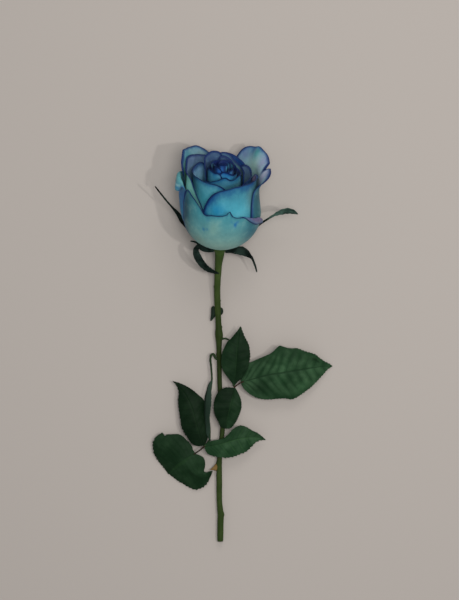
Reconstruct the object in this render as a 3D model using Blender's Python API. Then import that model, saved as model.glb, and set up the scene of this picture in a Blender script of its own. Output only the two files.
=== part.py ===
"""A cut rose lying on a flat surface: one half-open bloom, its calyx, a leafless upper stem and two leaves.

Sizes are in millimetres and the meshes are in metres. The stem lies along +Y with its cut end at -Y, and the
bloom's axis rises from the surface at its neck. The origin is on the surface, under the middle of the rose.
"""

import math
from dataclasses import dataclass, field

import bmesh
import bpy
import numpy as np
from mathutils import Vector

MM = 0.001

# Driving sizes of the whole rose
MIDDLE_X = 15.0
MIDDLE_Y = 125.8
BLOOM_BASE = (0.0, 192.4, 14.8)
BLOOM_RISE = math.radians(24.0)
BLOOM_LEAN = math.radians(2.5)
BLOOM_SCALE = 1.018
STEM_START_Z = 2.02
STEM_SLOPE = 0.006
NECK_LENGTH = 52.4

# Sizes of the petals, measured in the bloom's own frame
CUP_RADIUS = 25.6
PETAL_WALL = 0.8
CLAW_RADIUS = 2.9
FLARE_LENGTH = 14.0
FLARE_SLACK = 0.67
MERIDIAN_STEPS = 48
AZIMUTH_STEP = 12.0
SCROLL_AZIMUTH_STEP = 24.0
SCROLL_DEPTH = 14.0
OUTER_BOWL_ANGLES = (20.0, 37.0, 54.0, 72.0)
INNER_BOWL_ANGLES = (36.0, 63.0)
INNER_RADIUS = 15.0
RIM_CROWDING = 1.5
BOWL_SHARE = 0.8

# Sizes of the hip under the petals and of the core that carries their claws
HIP_ROWS = [(-7.0, 3.0), (-5.4, 3.2), (-4.0, 3.6), (-2.6, 4.3), (-1.5, 4.8), (-0.75, 4.5)]
CORE_RADIUS = 2.1
CORE_TAPER = 0.8
CORE_TOP = 15.2
HEART_BOTTOM = 15.6
HEART_TOP = 33.0

# Sizes of the green parts
LEAF_WALL = 0.7
SEPAL_WALL = 0.7
STRIP_FOLD = 0.16
LEAF_ARCH = 0.25
TOOTH = 0.45
BLUNT_END = 0.5
STEM_SIDES = 10
STALK_SIDES = 6

PETAL_BLUE = (0.095, 0.300, 0.380)
PETAL_INNER_BLUE = (0.065, 0.180, 0.300)
HEART_NAVY = (0.022, 0.050, 0.160)
STEM_GREEN = (0.045, 0.085, 0.022)
SEPAL_GREEN = (0.022, 0.038, 0.024)
LEAF_GREEN = (0.016, 0.045, 0.020)


@dataclass
class Petal:
    """A petal as its rim sees it: azimuths in degrees from the right, past the surface side at 90."""

    name: str
    rim: list
    depth: list
    lips: list = field(default_factory=list)
    point: tuple = (0.0, 0.0, 1.0)
    swell: list = field(default_factory=lambda: [(0.0, 0.0)])
    wall_rows: int = 2


# Rim rows are azimuth, height above the bloom's base, and how far the rim flares out
PETALS = [
    Petal(
        "petal_front_guard",
        rim=[(-152, 43.5, 0.8), (-146, 45, 0.7), (-138, 43, 0.4), (-128, 40, 0.1), (-121, 37, 0),
             (-115, 33.6, 0.2), (-103, 33.8, 0.3), (-87, 33.8, 0.3), (-60, 31.8, 0.3),
             (-40, 28.4, 0.3), (-18, 24.2, 0.2), (-4, 18.6, 0)],
        depth=[(-152, 0), (-4, 0)],
        lips=[(-26, 30, 100, 3.6)],
        point=(-77, 4.2, 7),
        wall_rows=4,
    ),
    Petal(
        "petal_right_guard",
        rim=[(-35, 36, 0), (-33, 42, 0.1), (-28, 47.4, 0.8), (-19, 51.4, 2.8), (-8, 53, 4.6),
             (6, 52.2, 5.4), (13, 50.8, 5.4), (20, 54.2, 6.6), (28, 57.6, 6.6), (40, 59.6, 5.8),
             (55, 58.2, 4.6), (66, 55.6, 3.2), (73, 50, 2.2)],
        depth=[(-35, 1.3), (73, 1.3)],
        wall_rows=4,
    ),
    Petal(
        "petal_back_guard",
        rim=[(50, 38, 0), (60, 43, 0.3), (75, 45, 0.6), (90, 45.5, 0.6), (105, 45.5, 0.6),
             (120, 45, 0.5), (140, 43, 0.3), (152, 40, 0), (160, 33, 0)],
        depth=[(50, 0), (160, 0)],
    ),
    Petal(
        "petal_left_guard",
        rim=[(148, 44, 0.5), (160, 47, 0.8), (172, 48.6, 1.0), (182, 48.8, 1.1), (192, 47.4, 1.0),
             (202, 45, 0.6), (212, 43, 0.4), (222, 37, 0), (228, 31, 0)],
        depth=[(148, 1.35), (228, 1.35)],
        lips=[(183, 28, 150, 4.8)],
        swell=[(168, 0), (180, 2.2), (192, 2.2), (204, 0)],
        wall_rows=5,
    ),
    Petal(
        "petal_left_back_outer",
        rim=[(96, 46, 1.2), (102, 50, 2.4), (109, 52.7, 3.4), (118, 56, 3.9), (130, 59.2, 4.1),
             (141, 60.4, 4.1), (154, 61, 3.8), (164, 59.5, 3.3), (173, 56.5, 2.8), (182, 52, 1.8),
             (190, 46, 0.6)],
        depth=[(96, 2.6), (190, 2.6)],
        wall_rows=4,
    ),
    Petal(
        "petal_left_middle",
        rim=[(112, 50, 0.6), (117, 52.6, 0.9), (129, 54.6, 1.1), (148, 57, 1.1), (160, 57.6, 1.1),
             (171, 57, 1), (180, 54.5, 0.9), (199, 52.6, 0.7), (211, 50.6, 0.4), (217, 47.5, 0.2),
             (226, 42.5, 0), (237, 35.5, 0), (244, 28, 0)],
        depth=[(112, 3.9), (244, 3.9)],
    ),
    Petal(
        "petal_front_middle",
        rim=[(-124, 30, 0), (-121, 35, 0), (-116, 39.4, 0), (-106, 45.2, 0), (-97, 48.4, 0.1),
             (-86, 50.2, 0.2), (-71, 51.6, 0.4), (-51, 52.3, 0.6), (-34, 51.8, 0.6), (-18, 51.2, 0.5),
             (4, 49.6, 0.4), (22, 46.4, 0.2), (33, 41, 0)],
        depth=[(-124, 5.3), (-110, 5.2), (-88, 3.7), (-40, 3.7), (0, 5.2), (33, 5.4)],
    ),
    Petal(
        "petal_back_middle",
        rim=[(36, 46, -0.6), (48, 50.5, -0.6), (60, 52.8, -0.6), (66, 53.8, -0.6), (77, 55, -0.6),
             (90, 55.5, -0.6), (102, 54, -0.6), (114, 50, -0.6), (120, 45, -0.6)],
        depth=[(36, 5.6), (120, 5.6)],
    ),
    Petal(
        "petal_left_inner",
        rim=[(124, 45, 0), (130, 49.4, 0), (139, 51.6, 0.2), (157, 51.4, 0.3), (180, 51.3, 0.3),
             (200, 52, 0.3), (215, 52.3, 0.2), (236, 51.9, 0.1), (255, 51.3, 0), (275, 48.8, 0),
             (288, 43, 0)],
        depth=[(124, 7.2), (288, 7.2)],
    ),
    Petal(
        "petal_right_inner",
        rim=[(-64, 43, 0), (-52, 48, 0), (-41, 50.4, 0.1), (-19, 51.2, 0.2), (8, 50.8, 0.2),
             (19, 51.4, 0.2), (33, 52, 0.2), (45, 51, 0.1), (53, 49, 0), (60, 45, 0)],
        depth=[(-64, 8.2), (60, 8.2)],
    ),
    Petal(
        "petal_back_inner",
        rim=[(-34, 40, -0.5), (-24, 44, -0.6), (-14, 47.5, -0.9), (0, 50, -1.2), (20, 51, -1.2),
             (39, 51.8, -0.7), (56, 53.6, -0.3), (73, 56.6, 0), (88, 58.2, 0), (99, 57.6, 0),
             (110, 55, 0), (120, 50, 0)],
        depth=[(-34, 12.0), (120, 11.0)],
    ),
    Petal(
        "petal_front_inner",
        rim=[(-160, 44, 0), (-151, 47.6, 0), (-138, 49, 0), (-126, 49.8, 0), (-103, 51.7, 0.1),
             (-91, 53.2, 0.2), (-81, 53.5, 0.2), (-70, 52, 0.2), (-57, 51.6, 0.1), (-44, 52.6, 0),
             (-32, 53.2, 0), (-20, 51.5, 0), (-8, 46, 0)],
        depth=[(-160, 13.0), (-60, 13.8), (-8, 13.9)],
    ),
    Petal(
        "petal_left_scroll",
        rim=[(92, 56, 0), (102, 59.2, 0), (115, 60.8, 0), (129, 61.4, 0), (151, 60.4, 0),
             (170, 59.4, 0), (182, 58, 0), (194, 53.5, 0), (205, 47.5, 0), (212, 43, 0)],
        depth=[(92, 14.3), (212, 14.3)],
    ),
    Petal(
        "petal_right_scroll",
        rim=[(-48, 44, 0), (-36, 48, 0), (-20, 50.6, 0), (0, 51, 0), (20, 51, 0), (36, 51.6, 0),
             (55, 54, 0), (79, 56.8, 0), (95, 57.6, 0), (106, 56.5, 0), (114, 53, 0)],
        depth=[(-48, 15.3), (80, 15.3), (114, 15.7)],
    ),
]

# The tight middle of the bloom, from its outer scroll to its innermost one
HEART_PETALS = [
    Petal("scroll_1", [(158, 48, 0), (170, 52, 0), (182, 53.6, 0), (200, 55, 0), (219, 55.6, 0),
                       (239, 54.6, 0), (252, 54.6, 0), (264, 53, 0), (274, 48, 0)], [(158, 16.0), (274, 16.3)]),
    Petal("scroll_2", [(-120, 48, 0), (-106, 53, 0), (-93, 55, 0), (-71, 54.8, 0), (-47, 52.8, 0),
                       (-20, 52, 0), (10, 52.6, 0), (40, 54, 0), (62, 51, 0)], [(-120, 17.6), (62, 17.0)]),
    Petal("scroll_3", [(70, 52, 0), (95, 55, 0), (130, 56, 0), (170, 56.4, 0), (210, 55.6, 0), (240, 52, 0)],
          [(70, 17.8), (240, 18.2)]),
    Petal("scroll_4", [(-80, 51, 0), (-50, 54.4, 0), (-10, 55.4, 0), (30, 56, 0), (70, 56.4, 0),
                       (100, 53, 0)],
          [(-80, 19.2), (100, 19.2)]),
    Petal("scroll_5", [(120, 52, 0), (160, 55.6, 0), (200, 56.2, 0), (250, 56, 0), (280, 52, 0)],
          [(120, 19.8), (280, 20.2)]),
    Petal("scroll_6", [(-70, 52, 0), (-20, 56.2, 0), (40, 57, 0), (110, 57, 0), (160, 53, 0)],
          [(-70, 21.4), (160, 21.4)]),
    Petal("scroll_7", [(130, 52, 0), (190, 57, 0), (260, 57.6, 0), (330, 57, 0), (400, 53, 0)],
          [(130, 22.8), (400, 23.4)]),
]

# Sepal rows are the bloom's x, its depth towards the surface, its height, and the blade's width
SEPALS = {
    "left_long": [(-3.6, 1.4, -2.2, 3.0), (-8, 3.6, -1.9, 4.0), (-14, 6.5, -0.4, 4.4),
                  (-20, 8.4, 4.0, 4.4), (-25.2, 9.3, 10.4, 4.2), (-29, 9.5, 16.4, 3.4),
                  (-32.6, 9.4, 21.4, 2.2), (-36.4, 9, 26, 1.4), (-39.6, 8.6, 30.4, 1.0),
                  (-42.6, 8, 35.6, 0.7)],
    "left_curled": [(-3.6, -1.6, -2.2, 3.0), (-6.6, -2.8, -1.6, 4.6), (-10, -3.8, -0.2, 5.0),
                    (-13.6, -4.2, 1.8, 3.6), (-15.4, -5, 0.0, 3.0), (-15.2, -5.6, -4.6, 4.6),
                    (-12.6, -6, -9.6, 6.4), (-8.4, -6, -13.4, 6.0), (-4, -5.4, -16.2, 3.4),
                    (0.2, -4.7, -18, 0.7)],
    "right_drooping": [(3.6, -1.8, -2.2, 3.4), (7, -2.4, -2.6, 5.2), (11.6, -3, -2.4, 6.8),
                       (16, -3, -2.6, 6.6), (19.4, -3, -4.8, 3.4), (21.6, -3, -8, 1.7),
                       (23, -3, -11.6, 1.3), (24.3, -3, -16, 0.7)],
    "right_leafy": [(3.8, 1.4, -2.2, 3.0), (10, 2.4, -1.4, 3.2), (17, 3, 3.2, 2.8), (24, 3, 12.4, 2.2),
                    (28.8, 3, 18, 1.8), (33.4, 3, 21.4, 2.0), (38, 3, 23.6, 3.4), (42.6, 3, 25, 4.2),
                    (46, 3, 24.4, 3.0), (48.4, 3, 23, 0.8)],
    "under": [(0.6, 3.6, -2.2, 3.0), (1.2, 6.4, -2.8, 4.0), (1.8, 8.2, -5, 4.6), (2.0, 9.0, -9, 4.4),
              (1.9, 8.6, -13.5, 3.0), (1.6, 7.2, -18, 1.6), (1.2, 5.6, -22, 0.7)],
}
SEPAL_ROWS = 13
SEPAL_FACING = (0.0, -1.0, 0.2)

# Stem rows are the distance along the rose, the sideways drift and the width
STEM_ROWS = [(-5.3, 0.1, 4.0), (6.5, 0.2, 4.1), (12.6, 0.3, 4.1), (18.8, -0.3, 3.7), (35.2, -0.6, 3.8),
             (50.5, -0.4, 3.4), (64.8, 1.1, 3.1), (70, 1.6, 3.1), (83.3, 0.7, 3.1), (97.6, -0.1, 3.3),
             (118.1, -0.6, 3.8), (128.3, -0.7, 4.5), (132.4, -0.8, 5.0), (136.5, -0.9, 4.4),
             (152.9, -1.7, 4.4), (161.1, -1.9, 4.6), (173.4, -1.2, 5.0), (180.6, -0.9, 5.5)]
STEM_RINGS = 36
STEM_TOP = -7.5
STEM_TOP_WIDTH = 6.1
# Bumps are the distance along, the side and height of their middle on the stem, and their radii
STEM_BUMPS = [(165.7, -1.9, 0.3, (1.0, 1.7, 0.9)), (156, 1.7, 0.4, (0.9, 1.6, 0.9)),
              (149.1, 1.8, 0.8, (1.3, 2.2, 1.1)), (137.8, 1.9, 0.2, (1.1, 2.0, 1.0)),
              (12.8, 1.9, 0.3, (0.7, 1.4, 0.9))]
PRICKLE_ROOT = (-1.4, 44.5, 2.5)
PRICKLE_TIP = (-6.8, 43.2, 2.3)
# Prickle rows are the share of its length and its half-height
PRICKLE_ROWS = [(0.0, 3.4), (0.3, 2.4), (0.65, 1.3), (1.0, 0.3)]
PRICKLE_FLATNESS = 0.5
BRACT = [(-2.6, 152.5, 5.4, 1.6), (-4.3, 150.5, 5.9, 2.6), (-5.4, 147.4, 6.0, 2.4), (-5.8, 143.1, 5.6, 0.8)]


@dataclass
class Leaflet:
    """A leaflet as three lines of points from its base to its tip."""

    midrib: list
    left: list
    right: list
    rows: int = 18


RIGHT_LEAFLETS = [
    Leaflet(
        midrib=[(9.1, 99.3, 6.5), (10, 106.8, 8.6), (10.9, 117.1, 9.6), (12.3, 129.4, 9.2),
                (13.5, 138.6, 8.0)],
        left=[(8.6, 99.5, 6.5), (5.4, 103.1, 7.6), (2.3, 108.9, 8.2), (1.2, 115.5, 8.5),
              (1.5, 121.7, 8.5), (5.6, 129.4, 8.5), (9.8, 134.7, 8.2), (13.1, 138.6, 8.0)],
        right=[(9.7, 99.3, 6.5), (12.2, 102.3, 7.5), (15.6, 106.2, 8.2), (18.7, 114, 8.7),
               (19.4, 119.6, 8.7), (18.9, 125.8, 8.5), (16.4, 133, 8.2), (13.9, 138.6, 8.0)],
        rows=20,
    ),
    Leaflet(
        midrib=[(15, 104.8, 6.5), (25, 107.2, 8.4), (40.3, 109.8, 9.2), (55, 111.1, 7.4),
                (66, 111.5, 3.6), (74.1, 111.3, 0.4)],
        left=[(14.8, 105.3, 6.4), (16, 109.7, 6.6), (19.6, 114.2, 6.9), (29, 119.4, 8),
              (39, 125.9, 9.4), (49.8, 124, 8.4), (60.5, 120.8, 5.8), (68.4, 115.8, 2.6),
              (74, 111.8, 0.4)],
        right=[(15.2, 104.3, 6.4), (15.6, 100.1, 6.3), (19.9, 94.5, 6.4), (28.9, 90.2, 6.6),
               (38, 89.3, 6.4), (46.6, 90.7, 5.8), (56, 96.6, 4.8), (65.7, 105.7, 2.4),
               (74, 110.8, 0.4)],
        rows=28,
    ),
    Leaflet(
        midrib=[(8.8, 98.2, 6.4), (7.4, 90.4, 7.6), (6.5, 84.7, 7.9), (5.9, 77.1, 7.3), (5.6, 70.9, 6.3)],
        left=[(9.3, 98, 6.4), (11.6, 95.6, 6.9), (13.8, 89.4, 7.4), (13.7, 83.8, 7.5),
              (12.2, 77.7, 7.1), (9.7, 73.4, 6.7), (6.1, 70.9, 6.3)],
        right=[(8.3, 98.3, 6.4), (3.7, 97.6, 7), (-1.5, 94.4, 7.4), (-4, 86.8, 7.6), (-3.1, 79.8, 7.5),
               (-0.6, 73.2, 6.9), (5.2, 70.9, 6.3)],
        rows=16,
    ),
]
RIGHT_STALK = [(2.35, 130, 3.6, 1.0), (3.6, 130.3, 4.1, 0.7), (5.4, 129.6, 4.6, 0.6),
               (7.0, 123.2, 5.0, 0.6), (8.2, 110.9, 5.6, 0.6), (9.1, 99, 6.4, 0.75)]
RIGHT_RACHIS = [(9.0, 98.4, 6.4, 0.75), (11.3, 100.6, 6.5, 0.6), (13.6, 103, 6.5, 0.6),
                (16.4, 105.4, 6.6, 0.6)]

LEFT_LEAFLETS = [
    Leaflet(
        midrib=[(-10.7, 59.5, 5.8), (-14, 66.9, 7.0), (-18.2, 80.1, 7.8), (-23.5, 91.5, 6.8),
                (-30.9, 102.1, 4.2)],
        left=[(-11.2, 59.4, 5.8), (-15.4, 59.8, 5.7), (-19.4, 63.4, 5.7), (-24.8, 72.3, 5.7),
              (-26.4, 82.8, 5.6), (-27.4, 90.9, 5.2), (-27.9, 97.6, 4.6), (-31.2, 101.8, 4.2)],
        right=[(-10.2, 59.6, 5.8), (-9.7, 63.3, 5.2), (-10.3, 70, 4.7), (-10.5, 79.2, 4.5),
               (-10.9, 88.2, 4.6), (-15, 95.6, 5.0), (-22.9, 100.1, 4.8), (-30.5, 102.4, 4.2)],
        rows=20,
    ),
    Leaflet(
        midrib=[(-7, 62.1, 5.7), (-8.9, 68.9, 6.3), (-9.8, 76.1, 6.5), (-10.4, 88.4, 6.6),
                (-9.2, 96.6, 6.6), (-5.6, 104.2, 6.4)],
        left=[(-7.4, 62.1, 5.6), (-9.4, 68.9, 6.0), (-10.3, 76.1, 6.1), (-10.9, 88.4, 6.2),
              (-9.7, 96.6, 6.2), (-6.0, 104.4, 6.2)],
        right=[(-6.5, 62.2, 6.0), (-6.4, 69.6, 9.5), (-6.9, 75.1, 12), (-6.9, 82.9, 13.5),
               (-6.0, 89.4, 12.8), (-5.5, 96.6, 10), (-5.2, 104, 6.9)],
        rows=16,
    ),
    Leaflet(
        midrib=[(-10, 58.9, 5.9), (-3, 60.5, 7.2), (7.8, 62.8, 8.2), (18, 63.5, 7.0), (29.4, 63.1, 3.6)],
        left=[(-10, 59.5, 5.9), (-5.7, 62.6, 7), (1, 64.4, 7.7), (4.6, 67.3, 8.2), (8.5, 72, 8.5),
              (12.9, 73.2, 8.2), (18.2, 71.6, 7.2), (24, 68.1, 5.6), (29.2, 63.6, 3.6)],
        right=[(-10, 58.3, 5.9), (-8.5, 54.6, 6.2), (-1.8, 51.9, 6.8), (4.9, 51.7, 7.0),
               (10.9, 53.1, 6.8), (17, 55.8, 6.0), (24, 60.3, 4.8), (29.2, 62.6, 3.6)],
        rows=20,
    ),
    Leaflet(
        midrib=[(-15.8, 55, 6.2), (-21, 51.9, 7.6), (-27, 48.5, 7.4), (-33, 46, 4.6), (-38.6, 44.6, 0.4)],
        left=[(-16.2, 55.5, 6.2), (-18.6, 58.7, 6.2), (-21.4, 63, 5.8), (-26.7, 66.9, 5.0),
              (-35, 66.5, 3.4), (-38.4, 68.1, 2.8), (-42.2, 65.3, 2.0), (-43.7, 59.7, 1.4),
              (-43.2, 52.6, 0.7), (-39, 44.4, 0.4)],
        right=[(-15.4, 54.6, 6.2), (-11.3, 52.4, 5.8), (-9.9, 47, 5.0), (-9.4, 42.7, 4.0),
               (-5.2, 40.9, 1.6), (-7.6, 34.7, 1.3), (-12.2, 29.8, 1.3), (-17.6, 28.4, 1.2),
               (-26.4, 32.5, 0.9), (-33.3, 38, 0.6), (-37.8, 43.3, 0.4)],
        rows=28,
    ),
]
LEFT_STALK = [(-3.5, 117.5, 2.9, 0.8), (-4.0, 119.4, 3.1, 0.85), (-4.9, 119.9, 3.3, 0.85),
              (-5.8, 119.3, 3.5, 0.8), (-6.3, 117.4, 3.6, 0.75), (-5.9, 112, 3.8, 0.65),
              (-5.4, 104.8, 4.0, 0.6), (-6.6, 92.5, 4.1, 0.6), (-7.4, 78.2, 4.3, 0.6),
              (-6.8, 67.9, 4.6, 0.6), (-7.4, 62.4, 5.2, 0.65), (-10.6, 58.8, 5.8, 0.75)]
LEFT_RACHIS = [(-10.0, 59.3, 5.8, 0.75), (-13.2, 57, 6.0, 0.6), (-17.4, 54.1, 6.3, 0.6)]


def smooth(at, places, values):
    """The cubic through values at places, whose slope at each is the mean of its neighbours' slopes."""
    places = np.asarray(places, float)
    values = np.asarray(values, float)
    slopes = np.gradient(values, places)
    left = np.clip(np.searchsorted(places, at) - 1, 0, len(places) - 2)
    step = places[left + 1] - places[left]
    share = (at - places[left]) / step
    rest = 1 - share
    return (
        (1 + 2 * share) * rest**2 * values[left]
        + share * rest**2 * step * slopes[left]
        + share**2 * (3 - 2 * share) * values[left + 1]
        - share**2 * rest * step * slopes[left + 1]
    )


def line_through(points, count):
    """Points at even shares of the length of a smooth line through the given rows of numbers."""
    rows = np.array(points, float)
    steps = np.linalg.norm(np.diff(rows[:, :3], axis=0), axis=1)
    along = np.concatenate([[0.0], np.cumsum(steps)])
    at = np.linspace(0, along[-1], count)
    return np.stack([smooth(at, along, column) for column in rows.T], axis=1)


def bloom_frame():
    """The bloom's right, surface-side and axis directions, as the rows of a matrix."""
    axis = Vector(
        (
            math.sin(BLOOM_LEAN) * math.cos(BLOOM_RISE),
            math.cos(BLOOM_LEAN) * math.cos(BLOOM_RISE),
            math.sin(BLOOM_RISE),
        )
    )
    right = Vector((math.cos(BLOOM_LEAN), -math.sin(BLOOM_LEAN), 0.0))
    return np.array([right, axis.cross(right), axis])


def in_rose(local):
    """Points of the bloom's frame, placed in the rose at the bloom's full size."""
    return BLOOM_SCALE * np.asarray(local, float) @ bloom_frame() + np.array(BLOOM_BASE)


def petal_azimuths(petal):
    """The petal's columns: its two edges, its point, and every whole step of azimuth between them, so that
    the flat facets of neighbouring petals lie parallel."""
    first, last = petal.rim[0][0], petal.rim[-1][0]
    step = SCROLL_AZIMUTH_STEP if petal.depth[0][1] > SCROLL_DEPTH else AZIMUTH_STEP
    steps = np.arange(math.ceil(first / step), math.floor(last / step) + 1) * step
    inner = steps[(steps > first + step / 3) & (steps < last - step / 3)]
    middle, rise, half_width = petal.point
    point = [middle - half_width, middle, middle + half_width] if rise else []
    return np.unique(np.concatenate([[first, last], inner, point]))


def petal_rows(petal, radius, start, reach):
    """How far up each meridian the rows lie: at set angles of the bowl, then closer towards the rim."""
    angles = INNER_BOWL_ANGLES if radius.min() < INNER_RADIUS else OUTER_BOWL_ANGLES
    bowl_end = radius * (math.pi / 2 - start)
    bowl = [radius * (math.radians(angle) - start) for angle in angles]
    shrink = np.minimum(1, reach * BOWL_SHARE / bowl_end)
    share = 1 - (1 - np.linspace(0, 1, petal.wall_rows + 1)) ** RIM_CROWDING
    wall = [bowl_end * shrink * (1 - part) + reach * part for part in share]
    return np.array([0 * reach] + [row * shrink for row in bowl] + wall)


def petal_grid(petal, claw_radius):
    """The petal's middle surface: each meridian runs from the claw up a round bowl and a straight wall,
    and its direction turns outwards near the rim, evenly over the flare and faster over a rolled lip."""
    places, heights, flares = np.array(petal.rim, float).T
    azimuth = petal_azimuths(petal)
    radius = CUP_RADIUS - np.interp(azimuth, *np.array(petal.depth, float).T)
    height = smooth(azimuth, places, heights)
    middle, rise, half_width = petal.point
    height += rise * np.clip(1 - np.abs(azimuth - middle) / half_width, 0, 1)
    flare = smooth(azimuth, places, flares)
    start = np.arcsin(claw_radius / radius)
    bowl = np.arccos(np.clip((CUP_RADIUS - height) / radius, 0, 1)) - start
    reach = radius * bowl + np.maximum(height - CUP_RADIUS, 0) + FLARE_SLACK * flare**2 / FLARE_LENGTH
    roll_length = np.full(azimuth.shape, 1e-6)
    roll = np.zeros(azimuth.shape)
    for centre, spread, degrees, length in petal.lips:
        weight = np.clip(1 - np.abs(azimuth - centre) / spread, 0, 1)
        weight = weight * weight * (3 - 2 * weight)
        roll += math.radians(degrees) * weight
        roll_length = np.maximum(roll_length, length * weight)
    reach = reach + roll_length / 2
    along = np.linspace(0, 1, MERIDIAN_STEPS + 1)[:, None] * reach
    direction = np.minimum(start + along / radius, math.pi / 2)
    from_rim = reach - along
    direction = direction - 2 * flare / FLARE_LENGTH * np.clip(1 - from_rim / FLARE_LENGTH, 0, 1)
    direction = direction - roll * np.clip(1 - from_rim / roll_length, 0, 1)
    step = np.diff(along, axis=0)
    turn = (direction[1:] + direction[:-1]) / 2
    outward = claw_radius + np.vstack([np.zeros(azimuth.shape), np.cumsum(np.cos(turn) * step, axis=0)])
    upward = np.vstack([np.zeros(azimuth.shape), np.cumsum(np.sin(turn) * step, axis=0)])
    upward += CUP_RADIUS - radius * np.cos(start)
    outward += np.interp(azimuth, *np.array(petal.swell, float).T) * np.clip(upward / CUP_RADIUS, 0, 1) ** 2
    rows = petal_rows(petal, radius, start, reach)
    at = rows / reach * MERIDIAN_STEPS
    low = np.minimum(at.astype(int), MERIDIAN_STEPS - 1)
    mix = at - low
    column = np.arange(len(azimuth))
    outward = outward[low, column] * (1 - mix) + outward[low + 1, column] * mix
    upward = upward[low, column] * (1 - mix) + upward[low + 1, column] * mix
    angle = np.radians(azimuth)
    return np.stack([outward * np.cos(angle), outward * np.sin(angle), upward], axis=-1)


def leaflet_grid(leaflet):
    """The middle surface between the midrib and the two margins, which step out and in as teeth."""
    count = leaflet.rows + 1
    middle = line_through(leaflet.midrib, count)
    columns = []
    tooth = np.where(np.arange(count) % 2 == 1, TOOTH, -TOOTH)
    tooth[[0, -1]] = 0.0
    for margin in (leaflet.left, leaflet.right):
        edge = line_through(margin, count)
        outward = edge - middle
        outward /= np.linalg.norm(outward, axis=1)[:, None]
        edge = edge + outward * tooth[:, None]
        columns.append((edge, (edge + middle) / 2 + np.array([0, 0, LEAF_ARCH])))
    (left, left_half), (right, right_half) = columns
    return on_surface(np.stack([left, left_half, middle, right_half, right], axis=1), LEAF_WALL)


def on_surface(grid, wall):
    """The middle surface with nothing of its wall under the surface that the rose lies on."""
    grid = grid.copy()
    grid[..., 2] = np.maximum(grid[..., 2], wall / 2)
    return grid


def strip_grid(line, widths, facing):
    """A narrow blade along a line, seen full width from the facing direction and folded at its middle."""
    along = np.gradient(line, axis=0)
    side = np.cross(along, facing)
    side /= np.linalg.norm(side, axis=1)[:, None]
    normal = np.cross(side, along)
    normal /= np.linalg.norm(normal, axis=1)[:, None]
    across = np.linspace(-0.5, 0.5, 3)[None, :, None]
    width = widths[:, None, None]
    raised = (np.abs(across) - 0.25) * STRIP_FOLD * width
    return line[:, None] + side[:, None] * across * width + normal[:, None] * raised


def mesh_object(name, points, faces, material=None):
    """An object whose mesh has these points, in millimetres from the stem's cut end, and faces."""
    placed = np.asarray(points, float).reshape(-1, 3) - np.array([MIDDLE_X, MIDDLE_Y, 0.0])
    mesh = bpy.data.meshes.new(name)
    mesh.from_pydata((placed * MM).tolist(), [], faces)
    mesh.validate()
    made = bpy.data.objects.new(name, mesh)
    bpy.context.scene.collection.objects.link(made)
    if material:
        mesh.materials.append(material)
    mesh.shade_smooth()
    return made


def blade(name, grid, wall, material=None):
    """A grid of points as a sheet of triangles, given its wall by a Solidify modifier."""
    rows, columns = grid.shape[:2]
    faces = []
    for row in range(rows - 1):
        for column in range(columns - 1):
            a = row * columns + column
            b, c, d = a + 1, a + columns + 1, a + columns
            faces += [(a, b, c), (a, c, d)] if (row + column) % 2 else [(a, b, d), (b, c, d)]
    made = mesh_object(name, grid, faces, material)
    solidify = made.modifiers.new("wall", "SOLIDIFY")
    solidify.thickness = wall * MM
    solidify.offset = 0.0
    return made


def tube(name, line, radii, sides, flatten=1.0):
    """A closed tube along a line, its rings at right angles to it."""
    along = np.gradient(line, axis=0)
    along /= np.linalg.norm(along, axis=1)[:, None]
    side = np.cross(along, [0.0, 0.0, 1.0])
    side /= np.linalg.norm(side, axis=1)[:, None]
    up = np.cross(side, along)
    angle = np.linspace(0, 2 * math.pi, sides, endpoint=False)
    radius = np.asarray(radii, float)[:, None, None]
    ring = side[:, None] * np.cos(angle)[None, :, None] + up[:, None] * np.sin(angle)[None, :, None] * flatten
    points = line[:, None] + ring * radius
    faces = []
    for row in range(len(line) - 1):
        for column in range(sides):
            beside = (column + 1) % sides
            a = row * sides
            faces.append((a + column, a + beside, a + sides + beside, a + sides + column))
    faces.append(tuple(reversed(range(sides))))
    faces.append(tuple(range((len(line) - 1) * sides, len(line) * sides)))
    return mesh_object(name, points, faces)


def stalk(name, rows, count):
    """A leaf's stalk: a slim tube through rows of a place and a radius."""
    line = line_through(rows, count)
    return tube(name, line[:, :3], line[:, 3], STALK_SIDES)


def face_outwards(made):
    """Turns a closed mesh's faces outwards."""
    working = bmesh.new()
    working.from_mesh(made.data)
    bmesh.ops.recalc_face_normals(working, faces=working.faces)
    working.to_mesh(made.data)
    working.free()


def settle(made):
    """Replaces an object's mesh with its evaluated one, so that its modifiers are applied."""
    graph = bpy.context.evaluated_depsgraph_get()
    mesh = bpy.data.meshes.new_from_object(made.evaluated_get(graph))
    made.modifiers.clear()
    made.data = mesh
    face_outwards(made)


def fuse(name, pieces, material):
    """One body from pieces that sink into each other, by one Boolean union on a collection."""
    for piece in pieces:
        settle(piece)
    body, rest = pieces[0], pieces[1:]
    group = bpy.data.collections.new(name)
    bpy.context.scene.collection.children.link(group)
    for piece in rest:
        group.objects.link(piece)
    union = body.modifiers.new("union", "BOOLEAN")
    union.operation = "UNION"
    union.operand_type = "COLLECTION"
    union.collection = group
    union.solver = "MANIFOLD"
    settle(body)
    for piece in rest:
        bpy.data.objects.remove(piece)
    bpy.data.collections.remove(group)
    body.name = name
    body.data.name = name
    body.data.materials.clear()
    body.data.materials.append(material)
    return body


def finish(name, colour, roughness):
    """A plain material in the piece's own colour."""
    material = bpy.data.materials.new(name)
    material.use_nodes = True
    shader = material.node_tree.nodes["Principled BSDF"]
    shader.inputs["Base Color"].default_value = (*colour, 1.0)
    shader.inputs["Roughness"].default_value = roughness
    shader.inputs["Metallic"].default_value = 0.0
    return material


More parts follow.
